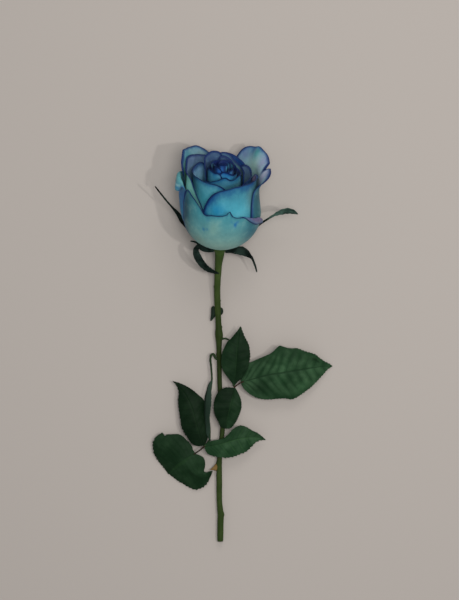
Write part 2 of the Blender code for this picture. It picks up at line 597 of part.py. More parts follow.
def stem_line(count):
    """The stem's middle line and radii: level along the surface, then bending up into the bloom's axis."""
    top = in_rose([[0.0, 0.0, STEM_TOP]])[0]
    rows = STEM_ROWS + [(top[1], top[0], STEM_TOP_WIDTH)]
    along, sideways, width = np.array(rows, float).T
    at = np.linspace(along[0], along[-1], count)
    neck = np.maximum(at - (BLOOM_BASE[1] - NECK_LENGTH), 0)
    rise = (math.tan(BLOOM_RISE) - STEM_SLOPE) * neck**2 / (2 * NECK_LENGTH)
    height = STEM_START_Z + STEM_SLOPE * at + rise
    line = np.stack([smooth(at, along, sideways), at, height], axis=1)
    return line, smooth(at, along, width) / 2


def bump(name, middle, radii):
    """A small rounded swelling."""
    working = bmesh.new()
    bmesh.ops.create_icosphere(working, subdivisions=1, radius=1.0)
    points = np.array([vertex.co for vertex in working.verts]) * radii + middle
    faces = [tuple(vertex.index for vertex in face.verts) for face in working.faces]
    working.free()
    return mesh_object(name, points, faces)


def build_stem(material):
    """The stem with its nodes, scars, one small bract and one prickle, grown as one piece."""
    line, radii = stem_line(STEM_RINGS)
    pieces = [tube("stem", line, radii, STEM_SIDES)]
    for index, (along, side, up, size) in enumerate(STEM_BUMPS):
        middle = np.array([np.interp(along, line[:, 1], line[:, axis]) for axis in range(3)])
        pieces.append(bump(f"bump_{index}", middle + np.array([side, 0, up]), np.array(size)))
    share, height = np.array(PRICKLE_ROWS).T
    root, tip = np.array(PRICKLE_ROOT), np.array(PRICKLE_TIP)
    spine = root + (tip - root) * share[:, None]
    pieces.append(tube("prickle", spine, height, STALK_SIDES, flatten=PRICKLE_FLATNESS))
    bract = line_through(BRACT, 7)
    upright = np.array([0.0, 0.0, 1.0])
    pieces.append(blade("bract", strip_grid(bract[:, :3], bract[:, 3], upright), SEPAL_WALL))
    return fuse("stem", pieces, material)


def build_calyx(material):
    """The hip with the core that carries the petals' claws, and five sepals grown from the hip's rim."""
    profile = [*HIP_ROWS, (HIP_ROWS[-1][0], CORE_RADIUS), (CORE_TOP, CORE_RADIUS * CORE_TAPER)]
    angle = np.linspace(0, 2 * math.pi, STEM_SIDES, endpoint=False)
    rings = np.array([[(r * math.cos(a), r * math.sin(a), h) for a in angle] for h, r in profile])
    faces = []
    for row in range(len(profile) - 1):
        for column in range(STEM_SIDES):
            beside = (column + 1) % STEM_SIDES
            a = row * STEM_SIDES
            faces.append((a + column, a + beside, a + STEM_SIDES + beside, a + STEM_SIDES + column))
    faces.append(tuple(reversed(range(STEM_SIDES))))
    faces.append(tuple(range((len(profile) - 1) * STEM_SIDES, len(profile) * STEM_SIDES)))
    pieces = [mesh_object("calyx", in_rose(rings), faces)]
    facing = np.array(SEPAL_FACING)
    for name, rows in SEPALS.items():
        line = line_through(rows, SEPAL_ROWS)
        grid = in_rose(strip_grid(line[:, :3], np.maximum(line[:, 3], BLUNT_END), facing))
        pieces.append(blade(name, on_surface(grid, SEPAL_WALL), SEPAL_WALL))
    return fuse("calyx", pieces, material)


def build_heart(material):
    """The tight middle of the bloom: scrolled petals grown from one short core."""
    ends = np.array([[0.0, 0.0, HEART_BOTTOM], [0.0, 0.0, HEART_TOP]])
    line = in_rose(ends[0] + (ends[1] - ends[0]) * np.linspace(0, 1, 3)[:, None])
    pieces = [tube("heart", line, [CORE_RADIUS * 0.8, CORE_RADIUS, CORE_RADIUS * 0.6], STEM_SIDES)]
    for petal in HEART_PETALS:
        pieces.append(blade(petal.name, in_rose(petal_grid(petal, CORE_RADIUS * 0.45)), PETAL_WALL))
    return fuse("heart", pieces, material)


def build_leaf(name, leaflets, stalks, material):
    """A leaf: its leaflets and their stalks, grown as one piece."""
    pieces = [stalk(f"{name}_stalk_{index}", rows, count) for index, (rows, count) in enumerate(stalks)]
    for index, leaflet in enumerate(leaflets):
        pieces.append(blade(f"{name}_leaflet_{index}", leaflet_grid(leaflet), LEAF_WALL))
    return fuse(name, pieces, material)


def main():
    """Clears the scene and builds every piece of the rose."""
    for leftover in list(bpy.data.objects):
        bpy.data.objects.remove(leftover)
    outer = finish("outer_petal", PETAL_BLUE, 0.45)
    inner = finish("inner_petal", PETAL_INNER_BLUE, 0.45)
    for petal in PETALS:
        grid = on_surface(in_rose(petal_grid(petal, CLAW_RADIUS)), PETAL_WALL)
        blade(petal.name, grid, PETAL_WALL, outer if "guard" in petal.name else inner)
    build_heart(finish("heart_petals", HEART_NAVY, 0.5))
    build_calyx(finish("sepal", SEPAL_GREEN, 0.6))
    build_stem(finish("stem", STEM_GREEN, 0.5))
    leaf = finish("leaf", LEAF_GREEN, 0.45)
    build_leaf("leaf_right", RIGHT_LEAFLETS, [(RIGHT_STALK, 14), (RIGHT_RACHIS, 4)], leaf)
    build_leaf("leaf_left", LEFT_LEAFLETS, [(LEFT_STALK, 22), (LEFT_RACHIS, 4)], leaf)


main()
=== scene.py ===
"""A blue cut rose lying on a pale table, dressed for its picture.

Each petal, sepal, leaflet, stalk and length of stem is a surface worked out on a grid of two parameters. Sizes are
in millimetres, measured from the stem's cut end, and a mesh is written in metres.
"""

import logging
import math
from dataclasses import dataclass, field
from enum import Enum

import bpy
import numpy as np
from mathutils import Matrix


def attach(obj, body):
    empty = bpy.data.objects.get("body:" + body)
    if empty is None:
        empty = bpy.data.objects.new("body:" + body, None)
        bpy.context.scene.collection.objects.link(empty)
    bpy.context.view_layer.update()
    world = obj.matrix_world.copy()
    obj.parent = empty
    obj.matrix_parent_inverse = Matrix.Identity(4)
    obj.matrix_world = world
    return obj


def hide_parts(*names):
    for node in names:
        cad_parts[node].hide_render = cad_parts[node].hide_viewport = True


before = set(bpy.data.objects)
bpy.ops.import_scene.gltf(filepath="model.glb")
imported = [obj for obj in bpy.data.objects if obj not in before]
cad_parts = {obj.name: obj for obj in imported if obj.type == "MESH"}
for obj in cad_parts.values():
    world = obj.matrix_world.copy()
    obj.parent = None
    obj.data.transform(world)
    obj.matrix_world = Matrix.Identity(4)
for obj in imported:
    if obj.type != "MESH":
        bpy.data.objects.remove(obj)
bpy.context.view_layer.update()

LOG = logging.getLogger("rose")

Array = np.ndarray
Vector = tuple[float, float, float]
Colour = Vector
Rows = list[tuple[float, ...]]
Value = "Socket | float"

MM = 0.001
FULL_TURN = 2 * math.pi
UPRIGHT = np.array([0.0, 0.0, 1.0])
LEAST_LENGTH = 1e-12

# How a screen's colour values become shares of light
SCREEN_KNEE = 0.04045
SCREEN_SLOPE = 12.92
SCREEN_LIFT = 0.055
SCREEN_POWER = 2.4

# How many of its spreads a bell curve is followed for
BELL_REACH = 3


class Face(Enum):
    """The two faces of a petal or a leaflet."""

    OUTER = 0
    INNER = 1


class Grain(Enum):
    """The fine relief of a finish."""

    LEATHERY = "leathery"
    FIBROUS = "fibrous"


def pigment(red: float, green: float, blue: float) -> Colour:
    """The linear colour of one that is given as a screen shows it.

    A share below the knee is divided by the slope. Any other is added to the lift, divided by one and the lift, and
    raised to the power.

    Args:
        red: red from 0 to 255.
        green: green from 0 to 255.
        blue: blue from 0 to 255.

    Returns:
        The three linear shares, from 0 to 1.
    """
    shares = np.array([red, green, blue]) / 255
    raised = ((shares + SCREEN_LIFT) / (1 + SCREEN_LIFT)) ** SCREEN_POWER
    return tuple(np.where(shares < SCREEN_KNEE, shares / SCREEN_SLOPE, raised).tolist())


def smoothstep(low: float, high: float, value: Array) -> Array:
    """A soft step: 3t squared less 2t cubed, where t is how far the value lies from low to high."""
    share = np.clip((value - low) / (high - low), 0, 1)
    return share * share * (3 - 2 * share)


def smooth(at: Array, places: Array, values: Array) -> Array:
    """The cubic through values at places, whose slope at each is the mean of its neighbours' slopes.

    Args:
        at: where the curve is read.
        places: the rising places of the given values.
        values: the given values.

    Returns:
        The curve's value at each of the places asked for.
    """
    places = np.asarray(places, float)
    values = np.asarray(values, float)
    slopes = np.gradient(values, places)
    left = np.clip(np.searchsorted(places, at) - 1, 0, len(places) - 2)
    step = places[left + 1] - places[left]
    share = (at - places[left]) / step
    rest = 1 - share
    return (
        (1 + 2 * share) * rest**2 * values[left]
        + share * rest**2 * step * slopes[left]
        + share**2 * (3 - 2 * share) * values[left + 1]
        - share**2 * rest * step * slopes[left + 1]
    )


def line_through(points: Rows, count: int) -> Array:
    """A smooth line through rows of numbers, read at even shares of its length.

    Args:
        points: rows that begin with a place, with any further values after it.
        count: how many rows are wanted.

    Returns:
        That many rows of the same numbers.
    """
    rows = np.array(points, float)
    steps = np.linalg.norm(np.diff(rows[:, :3], axis=0), axis=1)
    along = np.concatenate([[0.0], np.cumsum(steps)])
    at = np.linspace(0, along[-1], count)
    return np.stack([smooth(at, along, column) for column in rows.T], axis=1)


def eased(line: Array, spread: float) -> Array:
    """A line smoothed along its rows by a bell curve, with its ends kept.

    Before each end, the line is taken to go on as itself turned round that end.

    Args:
        line: rows of places.
        spread: the bell curve's spread, in rows.

    Returns:
        As many rows of places.
    """
    reach = int(BELL_REACH * spread)
    bell = np.exp(-0.5 * (np.arange(-reach, reach + 1) / spread) ** 2)
    before = 2 * line[0] - line[reach:0:-1]
    after = 2 * line[-1] - line[-2:-reach - 2:-1]
    longer = np.concatenate([before, line, after])
    return np.stack([np.convolve(column, bell / bell.sum(), mode="valid") for column in longer.T], axis=1)


def unit(vectors: Array) -> Array:
    """The vectors at length one."""
    return vectors / np.maximum(np.linalg.norm(vectors, axis=-1, keepdims=True), LEAST_LENGTH)


@dataclass(frozen=True)
class Placing:
    """Where the rose lies on the table, and how its bloom stands on the stem."""

    middle: Vector = (15.0, 125.8, 0.0)
    base: Vector = (0.0, 192.4, 14.8)
    rise: float = math.radians(24.0)
    lean: float = math.radians(2.5)
    scale: float = 1.018

    def bloom_frame(self) -> Array:
        """How the bloom is turned: its axis rises from the table and leans a little to the right.

        Returns:
            The bloom's right, table-side and axis directions, as the rows of a matrix.
        """
        level = math.cos(self.rise)
        axis = np.array([math.sin(self.lean) * level, math.cos(self.lean) * level, math.sin(self.rise)])
        right = np.array([math.cos(self.lean), -math.sin(self.lean), 0.0])
        return np.array([right, np.cross(axis, right), axis])

    def in_rose(self, local: Array) -> Array:
        """Points of the bloom's own frame, placed in the rose."""
        return self.scale * np.asarray(local, float) @ self.bloom_frame() + np.array(self.base)

    def in_metres(self, points: Array) -> Array:
        """Points of the rose, as metres from the middle of the place that it lies on."""
        return (np.asarray(points, float) - np.array(self.middle)) * MM


PLACING = Placing()


@dataclass
class Shell:
    """A closed surface: its points, its faces as arrays of corners, and values that lie on its points."""

    points: Array
    faces: list[Array]
    values: dict[str, Array]

    @staticmethod
    def joined(shells: list["Shell"]) -> "Shell":
        """Several closed surfaces as one.

        Args:
            shells: the surfaces, which carry values of the same names.

        Returns:
            One surface with all their points, faces and values.
        """
        starts = np.cumsum([0] + [len(shell.points) for shell in shells])
        faces = [part + start for shell, start in zip(shells, starts) for part in shell.faces]
        values = {name: np.concatenate([shell.values[name] for shell in shells]) for name in shells[0].values}
        return Shell(np.concatenate([shell.points for shell in shells]), faces, values)

    def write(self, name: str, material: bpy.types.Material) -> bpy.types.Object:
        """Writes the surface into a new object, with each set of values as an attribute of its points.

        Args:
            name: the object's name.
            material: its material.

        Returns:
            The object, at the origin, with its place in its mesh.
        """
        mesh = bpy.data.meshes.new(name)
        corners = [face for part in self.faces for face in part.tolist()]
        mesh.from_pydata(PLACING.in_metres(self.points).tolist(), [], corners)
        for key, values in self.values.items():
            kind, slot = ("FLOAT", "value") if values.ndim == 1 else ("FLOAT_VECTOR", "vector")
            attribute = mesh.attributes.new(key, kind, "POINT")
            attribute.data.foreach_set(slot, values.astype(np.float32).ravel())
        mesh.shade_smooth()
        mesh.materials.append(material)
        made = bpy.data.objects.new(name, mesh)
        bpy.context.scene.collection.objects.link(made)
        return made


def sheet(middle: Array, wall: Array, values: dict[str, Array]) -> Shell:
    """A thin closed sheet with a rounded rim.

    Each face lies half the wall from the middle surface, along the cross product of the grid's two slopes. A ring of
    points half a wall beyond the middle surface's rim joins the two faces. Nothing dips under the table.

    Args:
        middle: the middle surface, as rows of columns of points.
        wall: the wall at each point of the grid.
        values: for each name, the values on the outer and the inner face, as two grids.

    Returns:
        The closed surface.
    """
    rows, columns = middle.shape[:2]
    normal = unit(np.cross(np.gradient(middle, axis=1), np.gradient(middle, axis=0)))
    half = wall[..., None] / 2
    index = np.arange(rows * columns).reshape(rows, columns)
    rim = np.concatenate([index[0, :-1], index[:-1, -1], index[-1, :0:-1], index[:0:-1, 0]])
    row, column = rim // columns, rim % columns
    inside = middle[np.clip(row, 1, rows - 2), np.clip(column, 1, columns - 2)]
    ring = middle[row, column] + unit(middle[row, column] - inside) * half[row, column]
    points = np.concatenate([(middle + normal * half).reshape(-1, 3), (middle - normal * half).reshape(-1, 3), ring])
    points[:, 2] = np.maximum(points[:, 2], 0.0)
    corner = index[:-1, :-1].ravel()
    front = np.stack([corner, corner + 1, corner + columns + 1, corner + columns], axis=1)
    back = front[:, ::-1] + rows * columns
    middle_ring = 2 * rows * columns + np.arange(len(rim))
    far_rim = rim + rows * columns
    sides = [
        np.stack([near, far, np.roll(far, -1), np.roll(near, -1)], axis=1)
        for near, far in ((rim, middle_ring), (middle_ring, far_rim))
    ]
    laid = {}
    for name, grids in values.items():
        flat = grids.reshape(2 * rows * columns, *grids.shape[3:])
        laid[name] = np.concatenate([flat, (flat[rim] + flat[far_rim]) / 2])
    return Shell(points, [front, back, *sides], laid)


def tube(line: Array, radius: Array, values: dict[str, Array]) -> Shell:
    """A closed tube: rings at right angles to a line, with a point in the middle of each end.

    Args:
        line: the middle line, as rows of places.
        radius: the radius at each row and each side of the ring.
        values: for each name, the values at each row and side.

    Returns:
        The closed surface.
    """
    rows, sides = radius.shape
    along = unit(np.gradient(line, axis=0))
    side = unit(np.cross(along, UPRIGHT))
    up = np.cross(side, along)
    angle = np.linspace(0, FULL_TURN, sides, endpoint=False)
    ring = side[:, None] * np.cos(angle)[None, :, None] + up[:, None] * np.sin(angle)[None, :, None]
    points = (line[:, None] + ring * radius[..., None]).reshape(-1, 3)
    points = np.concatenate([points, line[:1], line[-1:]])
    index = np.arange(rows * sides).reshape(rows, sides)
    beside = np.roll(index, -1, axis=1)
    wall = np.stack([index[:-1], index[1:], beside[1:], beside[:-1]], axis=-1).reshape(-1, 4)
    first = np.stack([index[0], beside[0], np.full(sides, rows * sides)], axis=1)
    last = np.stack([beside[-1], index[-1], np.full(sides, rows * sides + 1)], axis=1)
    laid = {}
    for name, grid in values.items():
        flat = grid.reshape(rows * sides, *grid.shape[2:])
        ends = np.stack([grid[0].mean(axis=0), grid[-1].mean(axis=0)])
        laid[name] = np.concatenate([flat, ends])
    return Shell(points, [wall, first, last], laid)


class Socket:
    """One value of a shader, on which Python's own arithmetic adds Math nodes."""

    def __init__(self, bench: "Bench", output: bpy.types.NodeSocket) -> None:
        """Keeps the bench that the value is made on, and its output."""
        self.bench = bench
        self.output = output

    def apply(self, operation: str, *others: Value) -> "Socket":
        """The value after one Math node, with up to two more values."""
        return self.bench.node("ShaderNodeMath", {"operation": operation}, [self, *others])[0]

    def __add__(self, other: Value) -> "Socket":
        """The sum."""
        return self.apply("ADD", other)

    def __sub__(self, other: Value) -> "Socket":
        """The difference."""
        return self.apply("SUBTRACT", other)

    def __rsub__(self, other: float) -> "Socket":
        """A number less the value."""
        return (self * -1.0) + other

    def __mul__(self, other: Value) -> "Socket":
        """The product."""
        return self.apply("MULTIPLY", other)

    __radd__ = __add__
    __rmul__ = __mul__

    def absolute(self) -> "Socket":
        """The value without its sign."""
        return self.apply("ABSOLUTE")

    def to_nearest(self) -> "Socket":
        """How far the value is from the nearest whole number."""
        return ((self + 0.5).apply("FRACT") - 0.5).absolute()

    def step(self, low: float, high: float) -> "Socket":
        """0 at low and 1 at high, with a soft step between."""
        settings = {"interpolation_type": "SMOOTHSTEP"}
        return self.bench.node("ShaderNodeMapRange", settings, [self, low, high, 0.0, 1.0])[0]


@dataclass(frozen=True)
class Noise:
    """The settings of a noise."""

    scale: float
    detail: float = 3.0
    roughness: float = 0.55


class Bench:
    """One material's node tree, and the ways to add to it."""

    HALFWAY = (0.5, 0.5, 0.5)
    WARP_DETAIL = 2.0

    def __init__(self, name: str) -> None:
        """Starts a material with a Principled shader.

        Args:
            name: the material's name.
        """
        self.material = bpy.data.materials.new(name)
        self.material.use_nodes = True
        self.tree = self.material.node_tree
        self.shader = self.tree.nodes["Principled BSDF"]

    def node(self, kind: str, settings: dict[str, object], inputs: "list | dict") -> list[Socket]:
        """Adds a node.

        Args:
            kind: the node's type.
            settings: its own settings, which are set first.
            inputs: the values or links of its sockets, in order or by name.

        Returns:
            Its outputs.
        """
        made = self.tree.nodes.new(kind)
        for key, value in settings.items():
            setattr(made, key, value)
        pairs = inputs.items() if isinstance(inputs, dict) else enumerate(inputs)
        for key, value in pairs:
            self.put(made.inputs[key], value)
        return [Socket(self, output) for output in made.outputs]

    def put(self, socket: bpy.types.NodeSocket, value: "Socket | float | Colour") -> None:
        """Links a socket to a value, or sets it to a number or a colour, which is opaque.

        Args:
            socket: the socket.
            value: what goes into it.
        """
        if isinstance(value, Socket):
            self.tree.links.new(value.output, socket)
        elif isinstance(value, tuple) and len(socket.default_value) > len(value):
            socket.default_value = (*value, 1.0)
        else:
            socket.default_value = value

    def number(self, name: str) -> Socket:
        """A number that lies on the piece's points: the node's third output."""
        return self.node("ShaderNodeAttribute", {"attribute_name": name}, [])[2]

    def vector(self, name: str) -> Socket:
        """A vector or a colour that lies on the piece's points: the node's second output."""
        return self.node("ShaderNodeAttribute", {"attribute_name": name}, [])[1]

    def parts(self, vector: Socket) -> list[Socket]:
        """The three numbers of a vector."""
        return self.node("ShaderNodeSeparateXYZ", {}, [vector])

    def stretched(self, vector: Socket, scale: Vector) -> Socket:
        """The vector times another."""
        return self.node("ShaderNodeVectorMath", {"operation": "MULTIPLY"}, [vector, scale])[0]

    def place(self) -> Socket:
        """The place on the piece, in metres: the node's fourth output."""
        return self.node("ShaderNodeTexCoord", {}, [])[3]

    def warped(self, vector: Socket, scale: float, reach: float) -> Socket:
        """A vector moved about by noise.

        Args:
            vector: the vector.
            scale: the noise's scale.
            reach: how far it moves.

        Returns:
            The moved vector.
        """
        cloud = self.node("ShaderNodeTexNoise", {}, {"Vector": vector, "Scale": scale, "Detail": self.WARP_DETAIL})[1]
        moved = self.node("ShaderNodeVectorMath", {"operation": "SUBTRACT"}, [cloud, self.HALFWAY])[0]
        settings = {"operation": "MULTIPLY_ADD"}
        return self.node("ShaderNodeVectorMath", settings, [moved, (reach, reach, reach), vector])[0]

    def noise(self, at: Socket, kind: Noise) -> Socket:
        """Noise from 0 to 1, around a half."""
        inputs = {"Vector": at, "Scale": kind.scale, "Detail": kind.detail, "Roughness": kind.roughness}
        return self.node("ShaderNodeTexNoise", {}, inputs)[0]

    def mix(self, share: Value, first: "Socket | Colour", second: "Socket | Colour") -> Socket:
        """Two colours mixed, by a share of the second. The colours' sockets are the node's seventh and eighth."""
        return self.node("ShaderNodeMix", {"data_type": "RGBA"}, {0: share, 6: first, 7: second})[2]

    def shaded(self, colour: "Socket | Colour", amount: Socket) -> Socket:
        """A colour made lighter or darker by a number."""
        grey = self.node("ShaderNodeCombineXYZ", {}, [amount, amount, amount])[0]
        return self.node("ShaderNodeVectorMath", {"operation": "MULTIPLY"}, [colour, grey])[0]

    def relief(self, height: Socket, strength: float, distance: float) -> None:
        """Feeds a Bump node to the shader's normal."""
        bump = self.node("ShaderNodeBump", {}, {"Strength": strength, "Distance": distance, "Height": height})[0]
        self.feed("Normal", bump)

    def feed(self, name: str, value: "Socket | float | Colour") -> None:
        """Feeds one of the shader's sockets with a value, a number or a colour."""
        self.put(self.shader.inputs[name], value)


# The colours of the petals
NAVY = pigment(18, 40, 90)
DEEP_BLUE = pigment(22, 78, 142)
BRIGHT_BLUE = pigment(44, 148, 188)
TEAL = pigment(66, 146, 160)
PALE_TEAL = pigment(126, 176, 172)
GREEN_TEAL = pigment(84, 146, 134)
GREY_BLUE = pigment(92, 128, 152)
DUSK = pigment(64, 92, 134)
INK = pigment(22, 30, 74)
MIDNIGHT = pigment(28, 52, 118)


@dataclass(frozen=True)
class Patch:
    """A mark with a soft edge on one face of a petal, at an azimuth and a height: mostly the petal's own blotches, and
    in places painted shade, painted highlights and colour painted lighter to stand in for light.
    """

    azimuth: float
    height: float
    width: float
    tall: float
    colour: Colour
    strength: float = 1.0
    face: Face = Face.OUTER


@dataclass(frozen=True)
class PetalPaint:
    """A petal's colours: stops of height on each face, patches, and the dark rim with the fade below it. Stops and
    patches are mostly the petal's own colours, and in places painted shade and painted light.

    The inner face can have a narrower rim and fade, as a share of the outer face's. Widths are in millimetres from
    the rim. Clouds, mottles and fine grain lie in space, and veins and crinkles follow the petal, bent by a noise's
    scale and reach.
    """

    outer: tuple[tuple[float, Colour], ...]
    inner: tuple[tuple[float, Colour], ...]
    patches: tuple[Patch, ...] = ()
    fade: Colour = DEEP_BLUE
    fade_width: float = 5.0
    fade_strength: float = 0.8
    inner_fade: float = 1.0
    edge: Colour = NAVY
    edge_width: float = 1.1
    bleached: Colour = PALE_TEAL
    mottling: float = 0.22

    CLOUD = Noise(95.0)
    CLOUDED = (0.35, 0.65)
    MOTTLE = Noise(190.0, 4.0, 0.6)
    MOTTLED = (0.40, 0.72)
    FINE = Noise(900.0, 4.0, 0.65)
    VEINS = Noise(1.1, 3.0, 0.6)
    VEIN_BENDS = (0.16, 2.2)
    VEIN_STRETCH = (1.0, 0.07, 1.0)
    CRINKLES = Noise(0.8, 5.0)
    CRINKLE_BENDS = (0.3, 4.0)
    CRINKLE_STRETCH = (0.45, 0.25, 1.0)
    RAGGED = 2.0
    THINNED = 0.5
    EDGE_FULL = 0.2
    EDGE_GONE = 1.9
    SHEEN_TINT = (0.65, 0.85, 1.0)
    GLOW_RADII = (0.4, 0.9, 1.0)
    GLOW_SCALE = 0.001
    RELIEF_STRENGTH = 0.45
    RELIEF_DEPTH = 0.0003

    def colours(self, azimuth: Array, height: Array) -> Array:
        """The colour at each point of the two faces.

        The stops are joined by straight lines of height. Each patch, of the petal's own colour or of painted shade or
        light, is mixed in by a bell curve of its azimuth and height.

        Args:
            azimuth: the grid's azimuths in degrees.
            height: the grid's heights in millimetres.

        Returns:
            Two grids of colours, for the outer and the inner face.
        """
        faces = []
        for face, stops in ((Face.OUTER, self.outer), (Face.INNER, self.inner)):
            places = [place for place, _ in stops]
            colours = np.array([colour for _, colour in stops])
            laid = np.stack([np.interp(height, places, column) for column in colours.T], axis=-1)
            for patch in self.patches:
                if patch.face is face:
                    far = ((azimuth - patch.azimuth) / patch.width) ** 2 + ((height - patch.height) / patch.tall) ** 2
                    share = (patch.strength * np.exp(-far))[..., None]
                    laid = laid * (1 - share) + np.array(patch.colour) * share
            faces.append(laid)
        return np.stack(faces)

    def material(self, name: str) -> bpy.types.Material:
        """The petal's material: its laid colours, mottled and veined, fading to a dark rim.

        Args:
            name: the material's name.

        Returns:
            The material.
        """
        bench = Bench(name)
        flow = bench.vector("flow")
        place = bench.place()
        rim = bench.number("rim")
        cloud = bench.noise(place, self.CLOUD)
        mottle = bench.noise(place, self.MOTTLE)
        fine = bench.noise(place, self.FINE)
        veins = bench.noise(bench.stretched(bench.warped(flow, *self.VEIN_BENDS), self.VEIN_STRETCH), self.VEINS)
        bent = bench.warped(flow, *self.CRINKLE_BENDS)
        crinkle = bench.noise(bench.stretched(bent, self.CRINKLE_STRETCH), self.CRINKLES)
        patchy = mottle.step(*self.MOTTLED) * cloud.step(*self.CLOUDED)
        colour = bench.mix(patchy * self.mottling, bench.vector("colour"), self.bleached)
        light = 0.58 + cloud * 0.28 + mottle * 0.30 + fine * 0.08 + veins * 0.07 + crinkle * 0.16
        colour = bench.shaded(colour, light)
        ragged = rim + (cloud - 0.5) * self.fade_width + (veins - 0.5) * self.RAGGED
        colour = bench.mix((1.0 - ragged.step(0.0, self.fade_width)) * self.fade_strength, colour, self.fade)
        thinned = rim + (fine - 0.5) * self.THINNED
        beside = thinned.step(self.edge_width * self.EDGE_FULL, self.edge_width * self.EDGE_GONE)
        colour = bench.mix(1.0 - beside, colour, self.edge)
        bench.feed("Base Color", colour)
        bench.feed("Roughness", 0.44 + fine * 0.22)
        bench.feed("Sheen Weight", 0.03)
        bench.feed("Sheen Roughness", 0.45)
        bench.feed("Sheen Tint", self.SHEEN_TINT)
        bench.feed("Specular IOR Level", 0.14)
        bench.feed("Subsurface Weight", 0.06)
        bench.feed("Subsurface Radius", self.GLOW_RADII)
        bench.feed("Subsurface Scale", self.GLOW_SCALE)
        bench.relief(veins * 0.3 + fine * 0.4 + crinkle * 1.6, self.RELIEF_STRENGTH, self.RELIEF_DEPTH)
        return bench.material


